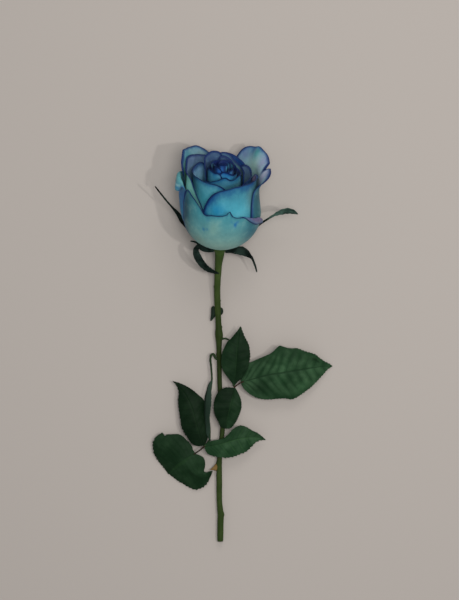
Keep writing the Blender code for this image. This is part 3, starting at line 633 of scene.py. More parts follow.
@dataclass
class Petal:
    """A petal, as its rim sees it: azimuths in degrees from the right, with the table's side at 90.

    Rim rows are an azimuth, the height above the bloom's base, and how far the rim flares out. Lips are stretches of
    rim that are rolled over: a middle, a spread, a turn in degrees, the length of the roll and of the flap beyond it.
    Nicks are a middle, a rise and a half-width. Depth and swell rows are an azimuth, and how far the cup is inside
    the outermost one or how far it stands out. Dents are an azimuth and its spread, a height and its spread, and how
    far the petal moves out. Rim swings are a height, its turns for each millimetre of the arc, and a share of the
    phase.
    """

    rim: Rows
    depth: Rows
    paint: PetalPaint
    name: str = ""
    lips: Rows = field(default_factory=list)
    nicks: Rows = field(default_factory=list)
    swell: Rows = field(default_factory=lambda: [(0, 0)])
    dents: Rows = field(default_factory=list)
    curl: float = 70.0
    wave: float = 0.22
    phase: float = 0.0
    claw_radius: float = 2.9

    CUP_RADIUS = 25.6
    FLARE_LENGTH = 14.0
    FLARE_SLACK = 0.67
    CURL_LENGTH = 1.5
    CURL_SLACK = 0.25
    CURL_SWING = 0.3
    CURL_FADES = 4.0
    LEAST_ROLL = 1e-6
    ROLL_SLACK = 0.66
    TURNED_BY = 0.4
    ROLLED_BY = 0.7
    FLAP_GROWS = (0.05, 0.9)
    ROWS = 78
    COLUMN_ARC = 0.66
    WIDEST_STEP = 5.0
    CROWDING = 1.75
    NICK_COLUMNS = 9
    NICK_POWER = 1.1
    WALL = 0.42
    THIN_WALL = 0.24
    THICK_FROM = 6.0
    SIDE_CURL = 0.35
    SIDE_REACH = 3.0
    WAVES = 5.0
    SMALL_WAVES = 11.5
    RIM_SWINGS = ((0.14, 0.45, 1), (0.08, 0.95, 2))
    PETAL_APART = 10.0
    INNER_APART = 40.0

    def columns(self) -> Array:
        """Where the grid's columns stand: at even steps, with more of them at each nick.

        Returns:
            The rising azimuths.
        """
        first, last = self.rim[0][0], self.rim[-1][0]
        narrowest = self.CUP_RADIUS - max(deep for _, deep in self.depth)
        step = min(math.degrees(self.COLUMN_ARC / narrowest), self.WIDEST_STEP)
        even = np.linspace(first, last, int((last - first) / step) + 2)
        fine = [middle + half * np.linspace(-1, 1, self.NICK_COLUMNS) for middle, _, half in self.nicks]
        return np.unique(np.concatenate([even, *fine]).round(3))

    def nicked(self, azimuth: Array) -> Array:
        """How far the nicks raise the rim, or cut it: a nick falls evenly from its middle to its ends.

        Args:
            azimuth: the columns' azimuths.

        Returns:
            The rise at each column.
        """
        rise = np.zeros(azimuth.shape)
        for middle, most, half in self.nicks:
            rise = rise + most * np.clip(1 - np.abs(azimuth - middle) / half, 0, 1) ** self.NICK_POWER
        return rise

    def rolled(self, azimuth: Array) -> tuple[Array, Array, Array]:
        """The lips, which grow by soft steps from their ends to their middles.

        Args:
            azimuth: the columns' azimuths.

        Returns:
            At each column, how far the rim is turned over, the length of the roll and that of the flap beyond it.
        """
        turned, flap = np.zeros(azimuth.shape), np.zeros(azimuth.shape)
        length = np.full(azimuth.shape, self.LEAST_ROLL)
        for centre, spread, degrees, longest, beyond in self.lips:
            near = 1 - np.abs(azimuth - centre) / spread
            turned = turned + math.radians(degrees) * smoothstep(0, self.TURNED_BY, near)
            length = np.maximum(length, longest * smoothstep(0, self.ROLLED_BY, near))
            flap = flap + beyond * smoothstep(*self.FLAP_GROWS, near)
        return turned, length, flap

    def moved(self, azimuth: Array, upward: Array, share: Array, side: Array) -> Array:
        """How far the points are moved outwards from the plain cup.

        The swell grows with the square of the height, and each dent is a bell curve of azimuth and height. The sides
        curl outwards, and a wave with a smaller one, half as tall, grows with the fourth power of the share.

        Args:
            azimuth: the columns' azimuths.
            upward: the height of each point.
            share: the share of the way from the claw to the rim, row by row.
            side: how far each column is from the petal's nearer side.

        Returns:
            The move of each point.
        """
        move = np.interp(azimuth, *np.array(self.swell, float).T) * np.clip(upward / self.CUP_RADIUS, 0, 1) ** 2
        for middle, spread, level, tall, most in self.dents:
            move = move + most * np.exp(-(((azimuth - middle) / spread) ** 2) - ((upward - level) / tall) ** 2)
        move = move + self.SIDE_CURL * np.clip(1 - side / self.SIDE_REACH, 0, 1) ** 2 * share**2
        turn = np.radians(azimuth)
        ripple = np.sin(self.WAVES * turn + self.phase) + 0.5 * np.sin(self.SMALL_WAVES * turn + 1.0 + self.phase)
        return move + self.wave * share**4 * ripple

    def surface(self) -> tuple[Array, dict[str, Array]]:
        """The petal's middle surface, and what the paint needs to know at each point.

        A meridian's direction starts at the claw's slope, turns with the round bowl until it is upright, and turns
        outwards near the rim: evenly over the flare, and faster over a rolled lip and the last curl. Nicks cut the
        meridian short or let it go on. The place is the running sum of the cosine and the sine of the direction.

        Returns:
            The grid of points in the bloom's frame, and grids of the azimuth, the height, the distance from the rim
            and that from the claw.
        """
        places, heights, flares = np.array(self.rim, float).T
        azimuth = self.columns()
        turn = np.radians(azimuth)
        radius = self.CUP_RADIUS - np.interp(azimuth, *np.array(self.depth, float).T)
        height = smooth(azimuth, places, heights)
        for swing, pace, shift in self.RIM_SWINGS:
            height = height + swing * np.sin(pace * turn * radius + shift * self.phase)
        flare = smooth(azimuth, places, flares)
        nick = self.nicked(azimuth)
        roll, roll_length, flap = self.rolled(azimuth)
        start = np.arcsin(self.claw_radius / radius)
        bowl = np.arccos(np.clip((self.CUP_RADIUS - height) / radius, 0, 1)) - start
        reach = radius * bowl + np.maximum(height - self.CUP_RADIUS, 0)
        reach = reach + self.FLARE_SLACK * flare**2 / self.FLARE_LENGTH
        reach = reach + self.ROLL_SLACK * roll_length + flap + self.CURL_SLACK * self.CURL_LENGTH
        side = np.radians(np.minimum(azimuth - places[0], places[-1] - azimuth)) * radius
        curl = math.radians(self.curl) * (1 + self.CURL_SWING * np.sin(self.WAVES * turn + 3 * self.phase))
        curl = curl * smoothstep(0, self.CURL_FADES, side)
        share = 1 - (1 - np.linspace(0, 1, self.ROWS)[:, None]) ** self.CROWDING
        along = share * (reach + nick)
        from_rim = reach - along
        from_edge = from_rim + nick
        direction = np.minimum(start + along / radius, math.pi / 2)
        direction = direction - 2 * flare / self.FLARE_LENGTH * np.clip(1 - from_rim / self.FLARE_LENGTH, 0, 1)
        direction = direction - roll * np.clip(1 - (from_rim - flap) / roll_length, 0, 1)
        direction = direction - curl * np.clip(1 - from_edge / self.CURL_LENGTH, 0, 1)
        step = np.diff(along, axis=0)
        bend = (direction[1:] + direction[:-1]) / 2
        claw = np.zeros((1, len(azimuth)))
        outward = self.claw_radius + np.vstack([claw, np.cumsum(np.cos(bend) * step, axis=0)])
        upward = np.vstack([claw, np.cumsum(np.sin(bend) * step, axis=0)])
        upward = upward + self.CUP_RADIUS - radius * np.cos(start)
        outward = outward + self.moved(azimuth, upward, share, side)
        slope = np.gradient(height + nick, turn) / radius
        rim = np.minimum(from_edge / np.sqrt(1 + slope**2), side + 0 * from_edge)
        points = np.stack([outward * np.cos(turn), outward * np.sin(turn), upward], axis=-1)
        return points, {"azimuth": azimuth + 0 * rim, "height": upward, "rim": rim, "along": along}

    def shell(self) -> Shell:
        """The petal as a thin closed sheet in the rose, thinner towards its rim, with its colours laid on it.

        Returns:
            The closed surface. Its flow runs round the cup and up the petal, apart for each petal and face.
        """
        points, known = self.surface()
        wall = self.THIN_WALL + (self.WALL - self.THIN_WALL) * smoothstep(0, self.THICK_FROM, known["rim"])
        middle = PLACING.in_rose(points)
        middle[..., 2] = np.maximum(middle[..., 2], wall / 2)
        across = np.radians(known["azimuth"]) * self.CUP_RADIUS
        flow = np.stack([across, known["along"], 0 * across + self.phase * self.PETAL_APART], axis=-1)
        values = {
            "colour": self.paint.colours(known["azimuth"], known["height"]),
            "rim": np.stack([known["rim"], known["rim"] / self.paint.inner_fade]),
            "flow": np.stack([flow, flow + self.INNER_APART * UPRIGHT]),
        }
        return sheet(middle, wall, values)

    def build(self) -> bpy.types.Object:
        """The petal as a piece of its own, in place of its plain solid.

        Returns:
            The piece.
        """
        return self.shell().write(f"{self.name}_fine", self.paint.material(self.name))


# The petals, from the outermost layer inwards
PETALS = [
    Petal(
        name="petal_front_guard",
        rim=[(-160, 34, 0.3), (-154, 41.5, 0.6), (-148, 45, 0.7), (-138, 43, 0.4), (-128, 40, 0.1), (-121, 37, 0),
             (-115, 33.6, 0.2), (-103, 33.8, 0.3), (-87, 33.8, 0.3), (-60, 31.8, 0.3), (-40, 28.4, 0.3),
             (-18, 24.2, 0.2), (-4, 18.6, 0)],
        depth=[(-160, 0), (-4, 0)],
        lips=[(-31, 36, 168, 2.6, 3.4)],
        nicks=[(-79.5, 1.9, 9), (-78.2, 2.4, 4.8)],
        swell=[(-160, -0.7), (-150, -1.2), (-140, -1.4), (-120, -0.6), (-105, 0)],
        phase=0.4,
        wave=0.1,
        paint=PetalPaint(
            outer=((0, PALE_TEAL), (8, pigment(120, 168, 164)), (22, pigment(94, 152, 156)), (34, TEAL)),
            inner=((0, TEAL), (24, pigment(106, 94, 124)), (29, pigment(98, 98, 134)), (32, pigment(56, 84, 134))),
            patches=(
                # Painted shade: a dark band down the petal's left side, beside the left guard.
                Patch(-160, 30, 18, 28, pigment(8, 42, 70), 0.98),
                Patch(-10, 14, 28, 16, pigment(42, 88, 106), 0.9),
                Patch(-40, 20, 17, 14, pigment(34, 100, 122), 0.75),
                Patch(-69.5, 27.3, 2.4, 1.8, pigment(22, 106, 164)),
                Patch(-66.5, 29, 2.0, 1.0, pigment(26, 110, 162), 0.8),
                Patch(-75, 29.5, 2.2, 1.0, pigment(36, 122, 160), 0.5),
                Patch(-114.5, 22.7, 2.2, 1.2, pigment(26, 112, 156), 0.9),
                Patch(-109, 23.4, 1.6, 1.0, pigment(30, 114, 156), 0.8),
                Patch(-108, 30, 3.0, 1.4, pigment(40, 120, 160), 0.4),
                Patch(-90, 8, 44, 8, pigment(138, 174, 162), 0.6),
                Patch(-99, 25, 9, 6, pigment(128, 166, 152), 0.5),
                Patch(-124, 12, 10, 5, pigment(132, 164, 150), 0.5),
            ),
            fade=pigment(52, 116, 144),
            fade_width=3.0,
            fade_strength=0.6,
            edge_width=0.75,
            bleached=pigment(150, 178, 160),
            mottling=0.2,
        ),
    ),
    Petal(
        name="petal_right_guard",
        rim=[(-35, 36, 0), (-33, 42, 0.2), (-28, 47, 1.6), (-20, 49.8, 4.2), (-10, 51.6, 6.4), (0, 52.6, 7.2),
             (8, 53.4, 7.2), (14, 54.2, 7.4), (20, 55.4, 7.8), (27, 57.8, 7.8), (34, 59.6, 7.2), (42, 61.2, 6.4),
             (48, 60.2, 5.8), (56, 59, 5), (66, 55.8, 3.6), (73, 50, 2.2)],
        depth=[(-35, 1.3), (73, 1.3)],
        nicks=[(13, -4.4, 5)],
        swell=[(-35, -2.2), (-20, -1.5), (0, -1.4), (14, -1), (26, 0)],
        dents=[(-2, 28, 24, 9, 1.7)],
        phase=1.7,
        paint=PetalPaint(
            outer=((0, pigment(66, 124, 120)), (26, pigment(50, 104, 114)), (46, pigment(48, 100, 118))),
            inner=((0, DUSK), (36, pigment(112, 158, 164)), (46, pigment(142, 182, 190)),
                   (60, pigment(94, 132, 164))),
            patches=(
                Patch(34, 50, 15, 7, pigment(154, 192, 182), 0.85, Face.INNER),
                Patch(24, 54, 7, 5, pigment(140, 150, 180), 0.9, Face.INNER),
                Patch(4, 49, 10, 8, pigment(178, 182, 214), 0.9, Face.INNER),
                # Painted highlight: a small whitish spot on the inner face.
                Patch(8, 50.5, 4, 2.2, pigment(190, 200, 212), 0.6, Face.INNER),
                Patch(60, 54, 9, 4, pigment(100, 120, 160), 0.8, Face.INNER),
                Patch(48, 59, 7, 3.5, pigment(48, 98, 136), 0.8, Face.INNER),
                Patch(39, 58, 4, 4, pigment(48, 124, 126), 0.8, Face.INNER),
                Patch(-34, 30, 5, 30, pigment(36, 96, 140), 0.9),
            ),
            fade=pigment(46, 82, 142),
            fade_width=3.6,
            fade_strength=0.85,
        ),
    ),
    Petal(
        name="petal_back_guard",
        rim=[(50, 38, 0), (60, 43, 0.3), (75, 45, 0.6), (90, 45.5, 0.6), (105, 45.5, 0.6), (120, 45, 0.5),
             (140, 43, 0.3), (152, 40, 0), (160, 33, 0)],
        depth=[(50, 0), (160, 0)],
        phase=2.6,
        wave=0.1,
        paint=PetalPaint(
            outer=((0, PALE_TEAL), (12, GREEN_TEAL), (40, pigment(60, 118, 136))),
            inner=((0, TEAL), (45, GREY_BLUE)),
            fade_width=4.0,
        ),
    ),
    Petal(
        name="petal_left_guard",
        rim=[(148, 44, 0.5), (160, 47, 0.8), (172, 48.6, 1), (182, 48.8, 1.1), (192, 47.4, 1), (202, 44, 0.6),
             (210, 40, 0.3), (219, 34, 0), (228, 27, 0)],
        depth=[(148, 1.35), (228, 1.35)],
        lips=[(184, 20, 165, 3.2, 4), (193, 9, 0, 0, 4.6)],
        swell=[(160, 0), (172, 1.5), (190, 1.4), (200, 0.2), (210, -1.6), (228, -1.6)],
        dents=[(186, 16, 38, 10, 1.4)],
        phase=3.3,
        wave=0.05,
        paint=PetalPaint(
            outer=((0, GREEN_TEAL), (12, pigment(34, 90, 120)), (26, pigment(34, 108, 150)),
                   (38, pigment(46, 94, 146)), (46, pigment(70, 120, 150))),
            inner=((0, TEAL), (36, pigment(74, 130, 148)), (44, pigment(88, 146, 154)),
                   (50, pigment(74, 142, 150))),
            patches=(
                Patch(178, 47, 8, 0.7, pigment(150, 188, 196), 0.8, Face.INNER),
                Patch(186, 45.4, 9, 0.6, pigment(48, 120, 154), 0.8, Face.INNER),
                Patch(189, 44.2, 8, 0.7, pigment(146, 184, 194), 0.8, Face.INNER),
                Patch(195, 42.6, 5, 1.0, pigment(26, 104, 156), 0.9, Face.INNER),
                Patch(186, 41.0, 7, 0.9, pigment(126, 172, 180), 0.6, Face.INNER),
            ),
            fade=pigment(60, 128, 152),
            fade_width=3.0,
            edge=pigment(52, 92, 138),
            edge_width=0.45,
        ),
    ),
    Petal(
        name="petal_left_back_outer",
        rim=[(96, 46, 1.2), (102, 50, 2.4), (109, 52.7, 3.4), (118, 56, 3.9), (130, 59.2, 4.1), (141, 60.4, 4.1),
             (154, 61, 3.8), (164, 59.5, 3.3), (173, 56.5, 2.8), (182, 52, 1.8), (190, 46, 0.6)],
        depth=[(96, 2.6), (190, 2.6)],
        nicks=[(160, 1.4, 9)],
        phase=4.1,
        paint=PetalPaint(
            outer=((0, GREEN_TEAL), (45, pigment(70, 122, 134))),
            inner=((0, TEAL), (44, pigment(78, 132, 126)), (56, pigment(100, 140, 156))),
            patches=(
                Patch(158, 56, 10, 5, pigment(50, 126, 146), 0.8, Face.INNER),
                Patch(122, 55, 14, 4, pigment(128, 162, 172), 0.8, Face.INNER),
                # The petal's own green, painted lighter to stand in for light in the shaded crevice between the petals.
                Patch(176, 48, 12, 8, pigment(104, 162, 140), 0.9, Face.INNER),
            ),
            fade=pigment(44, 92, 146),
            fade_width=3.5,
        ),
    ),
    Petal(
        name="petal_left_middle",
        rim=[(112, 50, 0.6), (117, 52.6, 0.9), (129, 54.6, 1.1), (148, 57, 1.1), (160, 57.6, 1.1), (171, 57, 1),
             (180, 54.5, 0.9), (199, 52.6, 0.7), (211, 50.6, 0.4), (217, 47.5, 0.2), (226, 42.5, 0), (237, 35.5, 0),
             (244, 28, 0)],
        depth=[(112, 3.9), (244, 3.9)],
        dents=[(200, 17, 41, 8, 2)],
        phase=5.2,
        paint=PetalPaint(
            # The outer face's own green, painted lighter towards the top to stand in for light in the shaded gap beside
            # the left guard.
            outer=((0, GREEN_TEAL), (36, pigment(96, 158, 150)), (46, pigment(120, 190, 180)),
                   (54, pigment(110, 180, 178))),
            inner=((0, TEAL), (44, pigment(96, 136, 160)), (56, pigment(98, 120, 158))),
            fade=pigment(50, 70, 130),
            fade_width=2.5,
        ),
    ),
    Petal(
        name="petal_front_middle",
        rim=[(-124, 30, 0), (-121, 35, 0), (-116, 39.4, 0), (-106, 45.2, 0), (-97, 48.4, 0.1), (-86, 50.2, 0.2),
             (-71, 51.6, 0.4), (-51, 52.3, 0.6), (-34, 51.8, 0.6), (-18, 51.2, 0.5), (4, 49.6, 0.4), (22, 46.4, 0.2),
             (33, 41, 0)],
        depth=[(-124, 5.3), (-110, 5.2), (-88, 3.7), (-40, 3.7), (0, 5.2), (33, 5.4)],
        phase=0.9,
        wave=0.12,
        paint=PetalPaint(
            outer=((0, BRIGHT_BLUE), (34, pigment(80, 176, 198)), (44, pigment(68, 146, 168)), (52, TEAL)),
            inner=((0, DUSK), (42, pigment(70, 86, 128)), (50, pigment(84, 92, 136))),
            patches=(
                # The inner face's own lavender pink, painted much lighter to stand in for light on this shaded face.
                Patch(18, 46.5, 13, 4, pigment(226, 200, 236), 1.0, Face.INNER),
                Patch(-98, 35, 14, 5, pigment(34, 140, 186), 0.9),
                Patch(-36, 42, 12, 12, pigment(84, 130, 138), 0.8),
                Patch(-22, 49, 8, 5, pigment(92, 134, 128), 0.7),
                Patch(-62, 28, 16, 6, pigment(104, 190, 206), 0.5),
            ),
            fade=pigment(18, 74, 136),
            fade_width=8.0,
            fade_strength=0.95,
            inner_fade=0.3,
            edge_width=1.2,
            mottling=0.12,
        ),
    ),
    Petal(
        name="petal_back_middle",
        rim=[(36, 46, -0.6), (48, 50.5, -0.6), (60, 52.8, -0.6), (66, 53.8, -0.6), (77, 55, -0.6), (90, 55.5, -0.6),
             (102, 54, -0.6), (114, 50, -0.6), (120, 45, -0.6)],
        depth=[(36, 5.6), (120, 5.6)],
        phase=1.3,
        paint=PetalPaint(
            outer=((0, TEAL), (50, GREY_BLUE)),
            inner=((0, DUSK), (52, pigment(40, 70, 128))),
        ),
    ),
    Petal(
        name="petal_left_inner",
        rim=[(124, 45, 0), (130, 49.4, 0), (139, 51.6, 0.2), (157, 51.4, 0.3), (180, 51.3, 0.3), (200, 52, 0.3),
             (215, 52.3, 0.2), (236, 51.9, 0.1), (255, 51.3, 0), (275, 48.8, 0), (288, 43, 0)],
        depth=[(124, 7.2), (288, 7.2)],
        phase=2.2,
        wave=0.12,
        paint=PetalPaint(
            outer=((0, TEAL), (40, pigment(70, 158, 176)), (52, pigment(70, 142, 164))),
            inner=((0, DUSK), (42, pigment(146, 208, 236)), (52, pigment(134, 180, 224))),
            fade=pigment(26, 84, 140),
            fade_width=5.0,
            fade_strength=0.85,
            edge_width=1.0,
        ),
    ),
    Petal(
        name="petal_right_inner",
        rim=[(-64, 43, 0), (-52, 48, 0), (-41, 50.4, 0.1), (-19, 51.2, 0.2), (8, 50.8, 0.2), (19, 51.4, 0.2),
             (33, 52, 0.2), (45, 51, 0.1), (53, 49, 0), (60, 45, 0)],
        depth=[(-64, 8.2), (60, 8.2)],
        phase=3.8,
        paint=PetalPaint(
            outer=((0, TEAL), (50, pigment(40, 80, 130))),
            inner=((0, DUSK), (42, pigment(120, 162, 184)), (52, pigment(92, 120, 168))),
            fade=pigment(42, 62, 124),
            fade_width=2.4,
        ),
    ),
    Petal(
        name="petal_back_inner",
        rim=[(-34, 40, -0.5), (-24, 44, -0.6), (-14, 47.5, -0.9), (0, 50, -1.2), (20, 51, -1.2), (39, 51.8, -0.7),
             (56, 53.6, -0.3), (73, 56.6, 0), (88, 58.2, 0), (99, 57.6, 0), (110, 55, 0), (120, 50, 0)],
        depth=[(-34, 12), (120, 11)],
        phase=4.6,
        paint=PetalPaint(
            outer=((0, DUSK), (50, MIDNIGHT)),
            inner=((0, INK), (48, pigment(84, 124, 140)), (58, pigment(80, 114, 146))),
            fade=pigment(30, 46, 110),
            fade_width=2.2,
        ),
    ),
    Petal(
        name="petal_front_inner",
        rim=[(-160, 44, 0), (-151, 47.6, 0), (-138, 49, 0), (-126, 49.8, 0), (-103, 51.7, 0.1), (-91, 53.2, 0.2),
             (-81, 53.5, 0.2), (-70, 52, 0.2), (-57, 51.6, 0.1), (-44, 52.6, 0), (-32, 53.2, 0), (-20, 51.5, 0),
             (-8, 46, 0)],
        depth=[(-160, 13), (-60, 13.8), (-8, 13.9)],
        phase=5.9,
        paint=PetalPaint(
            outer=((0, TEAL), (46, pigment(66, 126, 144)), (53, pigment(40, 112, 150))),
            inner=((0, INK), (52, MIDNIGHT)),
            fade=pigment(28, 92, 146),
            fade_width=3.5,
            edge_width=0.9,
        ),
    ),
    Petal(
        name="petal_left_scroll",
        rim=[(92, 56, 0), (102, 59.2, 0), (115, 60.8, 0), (129, 61.4, 0), (151, 60.4, 0), (170, 59.4, 0),
             (182, 58, 0), (194, 53.5, 0), (205, 47.5, 0), (212, 43, 0)],
        depth=[(92, 14.3), (212, 14.3)],
        phase=0.2,
        paint=PetalPaint(
            outer=((0, TEAL), (44, pigment(52, 116, 134)), (56, pigment(40, 84, 128))),
            inner=((0, INK), (47, pigment(24, 42, 98)), (56, pigment(62, 86, 126)), (61, pigment(78, 104, 136))),
            patches=(Patch(194, 50, 5, 4, pigment(70, 140, 176), 0.8, Face.INNER),),
            fade=pigment(30, 50, 116),
            fade_width=2.0,
            edge_width=1.0,
        ),
    ),
    Petal(
        name="petal_right_scroll",
        rim=[(-48, 44, 0), (-36, 48, 0), (-20, 50.6, 0), (0, 51, 0), (20, 51, 0), (36, 51.6, 0), (55, 54, 0),
             (79, 56.8, 0), (95, 57.6, 0), (106, 56.5, 0), (114, 53, 0)],
        depth=[(-48, 15.3), (80, 15.3), (114, 15.7)],
        phase=1.1,
        paint=PetalPaint(
            outer=((0, MIDNIGHT), (50, INK)),
            inner=((0, INK), (46, pigment(28, 42, 96)), (55, pigment(66, 92, 124))),
            fade=pigment(24, 36, 90),
            fade_width=2.2,
        ),
    ),
]


@dataclass
class Bloom:
    """The half-open bloom: petals in layers round a tight heart."""

    petals: list[Petal]

    def build(self) -> dict[str, bpy.types.Object]:
        """Builds the petals, each in place of its node.

        Returns:
            The pieces by the names of the nodes that they replace.
        """
        return {petal.name: petal.build() for petal in self.petals}


# The two outer scrolls take their material from the first paint, and the second only lays other colours
HEART_PAINT = PetalPaint(
    outer=((0, DUSK), (44, pigment(62, 136, 154)), (56, pigment(40, 116, 164))),
    inner=((0, INK), (56, pigment(26, 40, 100))),
    fade=pigment(26, 60, 132),
    fade_width=3.0,
    edge_width=0.9,
)
CRESCENT_PAINT = PetalPaint(
    outer=((0, DUSK), (46, pigment(56, 140, 176)), (56, pigment(34, 112, 176))),
    inner=((0, INK), (56, pigment(26, 40, 100))),
)
CORE_PAINT = PetalPaint(
    outer=((0, INK), (48, INK), (56, pigment(26, 48, 108))),
    inner=((0, INK), (52, INK), (57, pigment(26, 44, 104))),
    # Painted highlights: light arcs along the rims of the tight dark scrolls.
    patches=(
        Patch(172, 54.2, 18, 2.4, pigment(104, 188, 206), 0.95, Face.INNER),
        Patch(30, 54.3, 16, 1.8, pigment(84, 164, 204), 0.9, Face.INNER),
        Patch(330, 54.8, 18, 2.2, pigment(84, 164, 208), 0.9),
        Patch(-44, 52.6, 14, 2.0, pigment(56, 124, 178), 0.8),
        Patch(250, 53.8, 26, 2.4, pigment(48, 116, 196), 0.9),
    ),
    fade=pigment(22, 34, 92),
    fade_width=1.6,
    edge_width=0.7,
    mottling=0.1,
)


@dataclass
class Heart:
    """The tight middle of the bloom: scrolled petals, each one closer in than the last, round a slim core."""

    core_radius: float = 2.1
    core_bottom: float = 15.6
    core_top: float = 33.0
    scrolls: list[Petal] = field(default_factory=lambda: [
        Petal([(158, 48, 0), (170, 52, 0), (182, 53.6, 0), (200, 55, 0), (219, 55.6, 0), (239, 54.6, 0),
               (252, 54.6, 0), (264, 53, 0), (274, 48, 0)],
              [(158, 16), (274, 16.3)], HEART_PAINT, phase=0.3, wave=0.1),
        Petal([(-120, 48, 0), (-106, 53, 0), (-93, 55, 0), (-71, 54.8, 0), (-47, 52.8, 0), (-20, 52, 0),
               (10, 52.6, 0), (40, 54, 0), (62, 51, 0)],
              [(-120, 17.6), (62, 17)], CRESCENT_PAINT, phase=1.4, wave=0.1),
        Petal([(70, 52, 0), (95, 55, 0), (130, 56, 0), (170, 56.4, 0), (210, 55.6, 0), (240, 52, 0)],
              [(70, 17.8), (240, 18.2)], CORE_PAINT, phase=2.1, wave=0.1),
        Petal([(-80, 51, 0), (-50, 54.4, 0), (-10, 55.4, 0), (30, 56, 0), (70, 56.4, 0), (100, 53, 0)],
              [(-80, 19.2), (100, 19.2)], CORE_PAINT, phase=3.5, wave=0.1),
        Petal([(120, 52, 0), (160, 55.6, 0), (200, 56.2, 0), (250, 56, 0), (280, 52, 0)],
              [(120, 19.8), (280, 20.2)], CORE_PAINT, phase=4.4, wave=0.08),
        Petal([(-70, 52, 0), (-20, 56.2, 0), (40, 57, 0), (110, 57, 0), (160, 53, 0)],
              [(-70, 21.4), (160, 21.4)], CORE_PAINT, phase=5.3, wave=0.08),
        Petal([(130, 52, 0), (190, 57, 0), (260, 57.6, 0), (330, 57, 0), (400, 53, 0)],
              [(130, 22.8), (400, 23.4)], CORE_PAINT, phase=0.8, wave=0.05),
    ])

    CORE_ROWS = 12
    CORE_SIDES = 24
    CORE_SLIMNESS = 0.8
    CLAW_SLIMNESS = 0.45
    SCROLL_CURL = 30.0
    FAR_FROM_RIM = 20.0

    def build(self) -> list[bpy.types.Object]:
        """Builds the two bright outer scrolls, and the dark inner ones with their core.

        Returns:
            The two pieces.
        """
        line = PLACING.in_rose(np.linspace(self.core_bottom, self.core_top, self.CORE_ROWS)[:, None] * UPRIGHT)
        radius = np.full((self.CORE_ROWS, self.CORE_SIDES), self.core_radius * self.CORE_SLIMNESS)
        values = {
            "colour": np.broadcast_to(np.array(INK), (*radius.shape, 3)).copy(),
            "rim": np.full(radius.shape, self.FAR_FROM_RIM),
            "flow": np.zeros((*radius.shape, 3)),
        }
        shells = [tube(line, radius, values)]
        for scroll in self.scrolls:
            scroll.claw_radius = self.core_radius * self.CLAW_SLIMNESS
            scroll.curl = self.SCROLL_CURL
            shells.append(scroll.shell())
        outer = Shell.joined(shells[1:3]).write("heart_outer_scrolls", HEART_PAINT.material("heart_outer"))
        core = Shell.joined([shells[0], *shells[3:]]).write("heart_core_scrolls", CORE_PAINT.material("heart_core"))
        return [outer, core]


@dataclass(frozen=True)
class GreenFinish:
    """The finish of a green part: its colour, a second colour in clouds, and its grain."""

    base: Colour
    cloud: Colour
    grain: Grain
    roughness: float = 0.5
    freckle: Colour = pigment(30, 30, 24)
    freckles: float = 0.0
    shine: float = 0.05

    CLOUD = Noise(120.0)
    CLOUDED = (0.35, 0.7)
    FINE = Noise(900.0, 4.0)
    FIBRES = Noise(3.2, 4.0)
    FRECKLES = Noise(260.0, 1.0)
    FRECKLED = (0.70, 0.78)
    STRETCHES = {Grain.FIBROUS: (1.0, 0.05, 1.0), Grain.LEATHERY: (1.0, 0.6, 1.0)}
    RELIEF_STRENGTH = 0.4
    RELIEF_DEPTH = 0.0003

    def material(self, name: str) -> bpy.types.Material:
        """The material: clouds of the second colour, long fibres or fine pores, and any dark freckles.

        Args:
            name: the material's name.

        Returns:
            The material.
        """
        bench = Bench(name)
        place = bench.place()
        cloud = bench.noise(place, self.CLOUD)
        fine = bench.noise(place, self.FINE)
        fibres = bench.noise(bench.stretched(bench.vector("flow"), self.STRETCHES[self.grain]), self.FIBRES)
        colour = bench.mix(cloud.step(*self.CLOUDED), self.base, self.cloud)
        colour = bench.shaded(colour, (0.66 + fibres * 0.44 + fine * 0.24) * bench.number("tone"))
        if self.freckles:
            spots = bench.noise(place, self.FRECKLES).step(*self.FRECKLED) * self.freckles
            colour = bench.mix(spots, colour, self.freckle)
        bench.feed("Base Color", colour)
        bench.feed("Roughness", self.roughness - 0.08 + fine * 0.2)
        bench.feed("Specular IOR Level", self.shine)
        bench.relief(fibres + fine * 0.4, self.RELIEF_STRENGTH, self.RELIEF_DEPTH)
        return bench.material


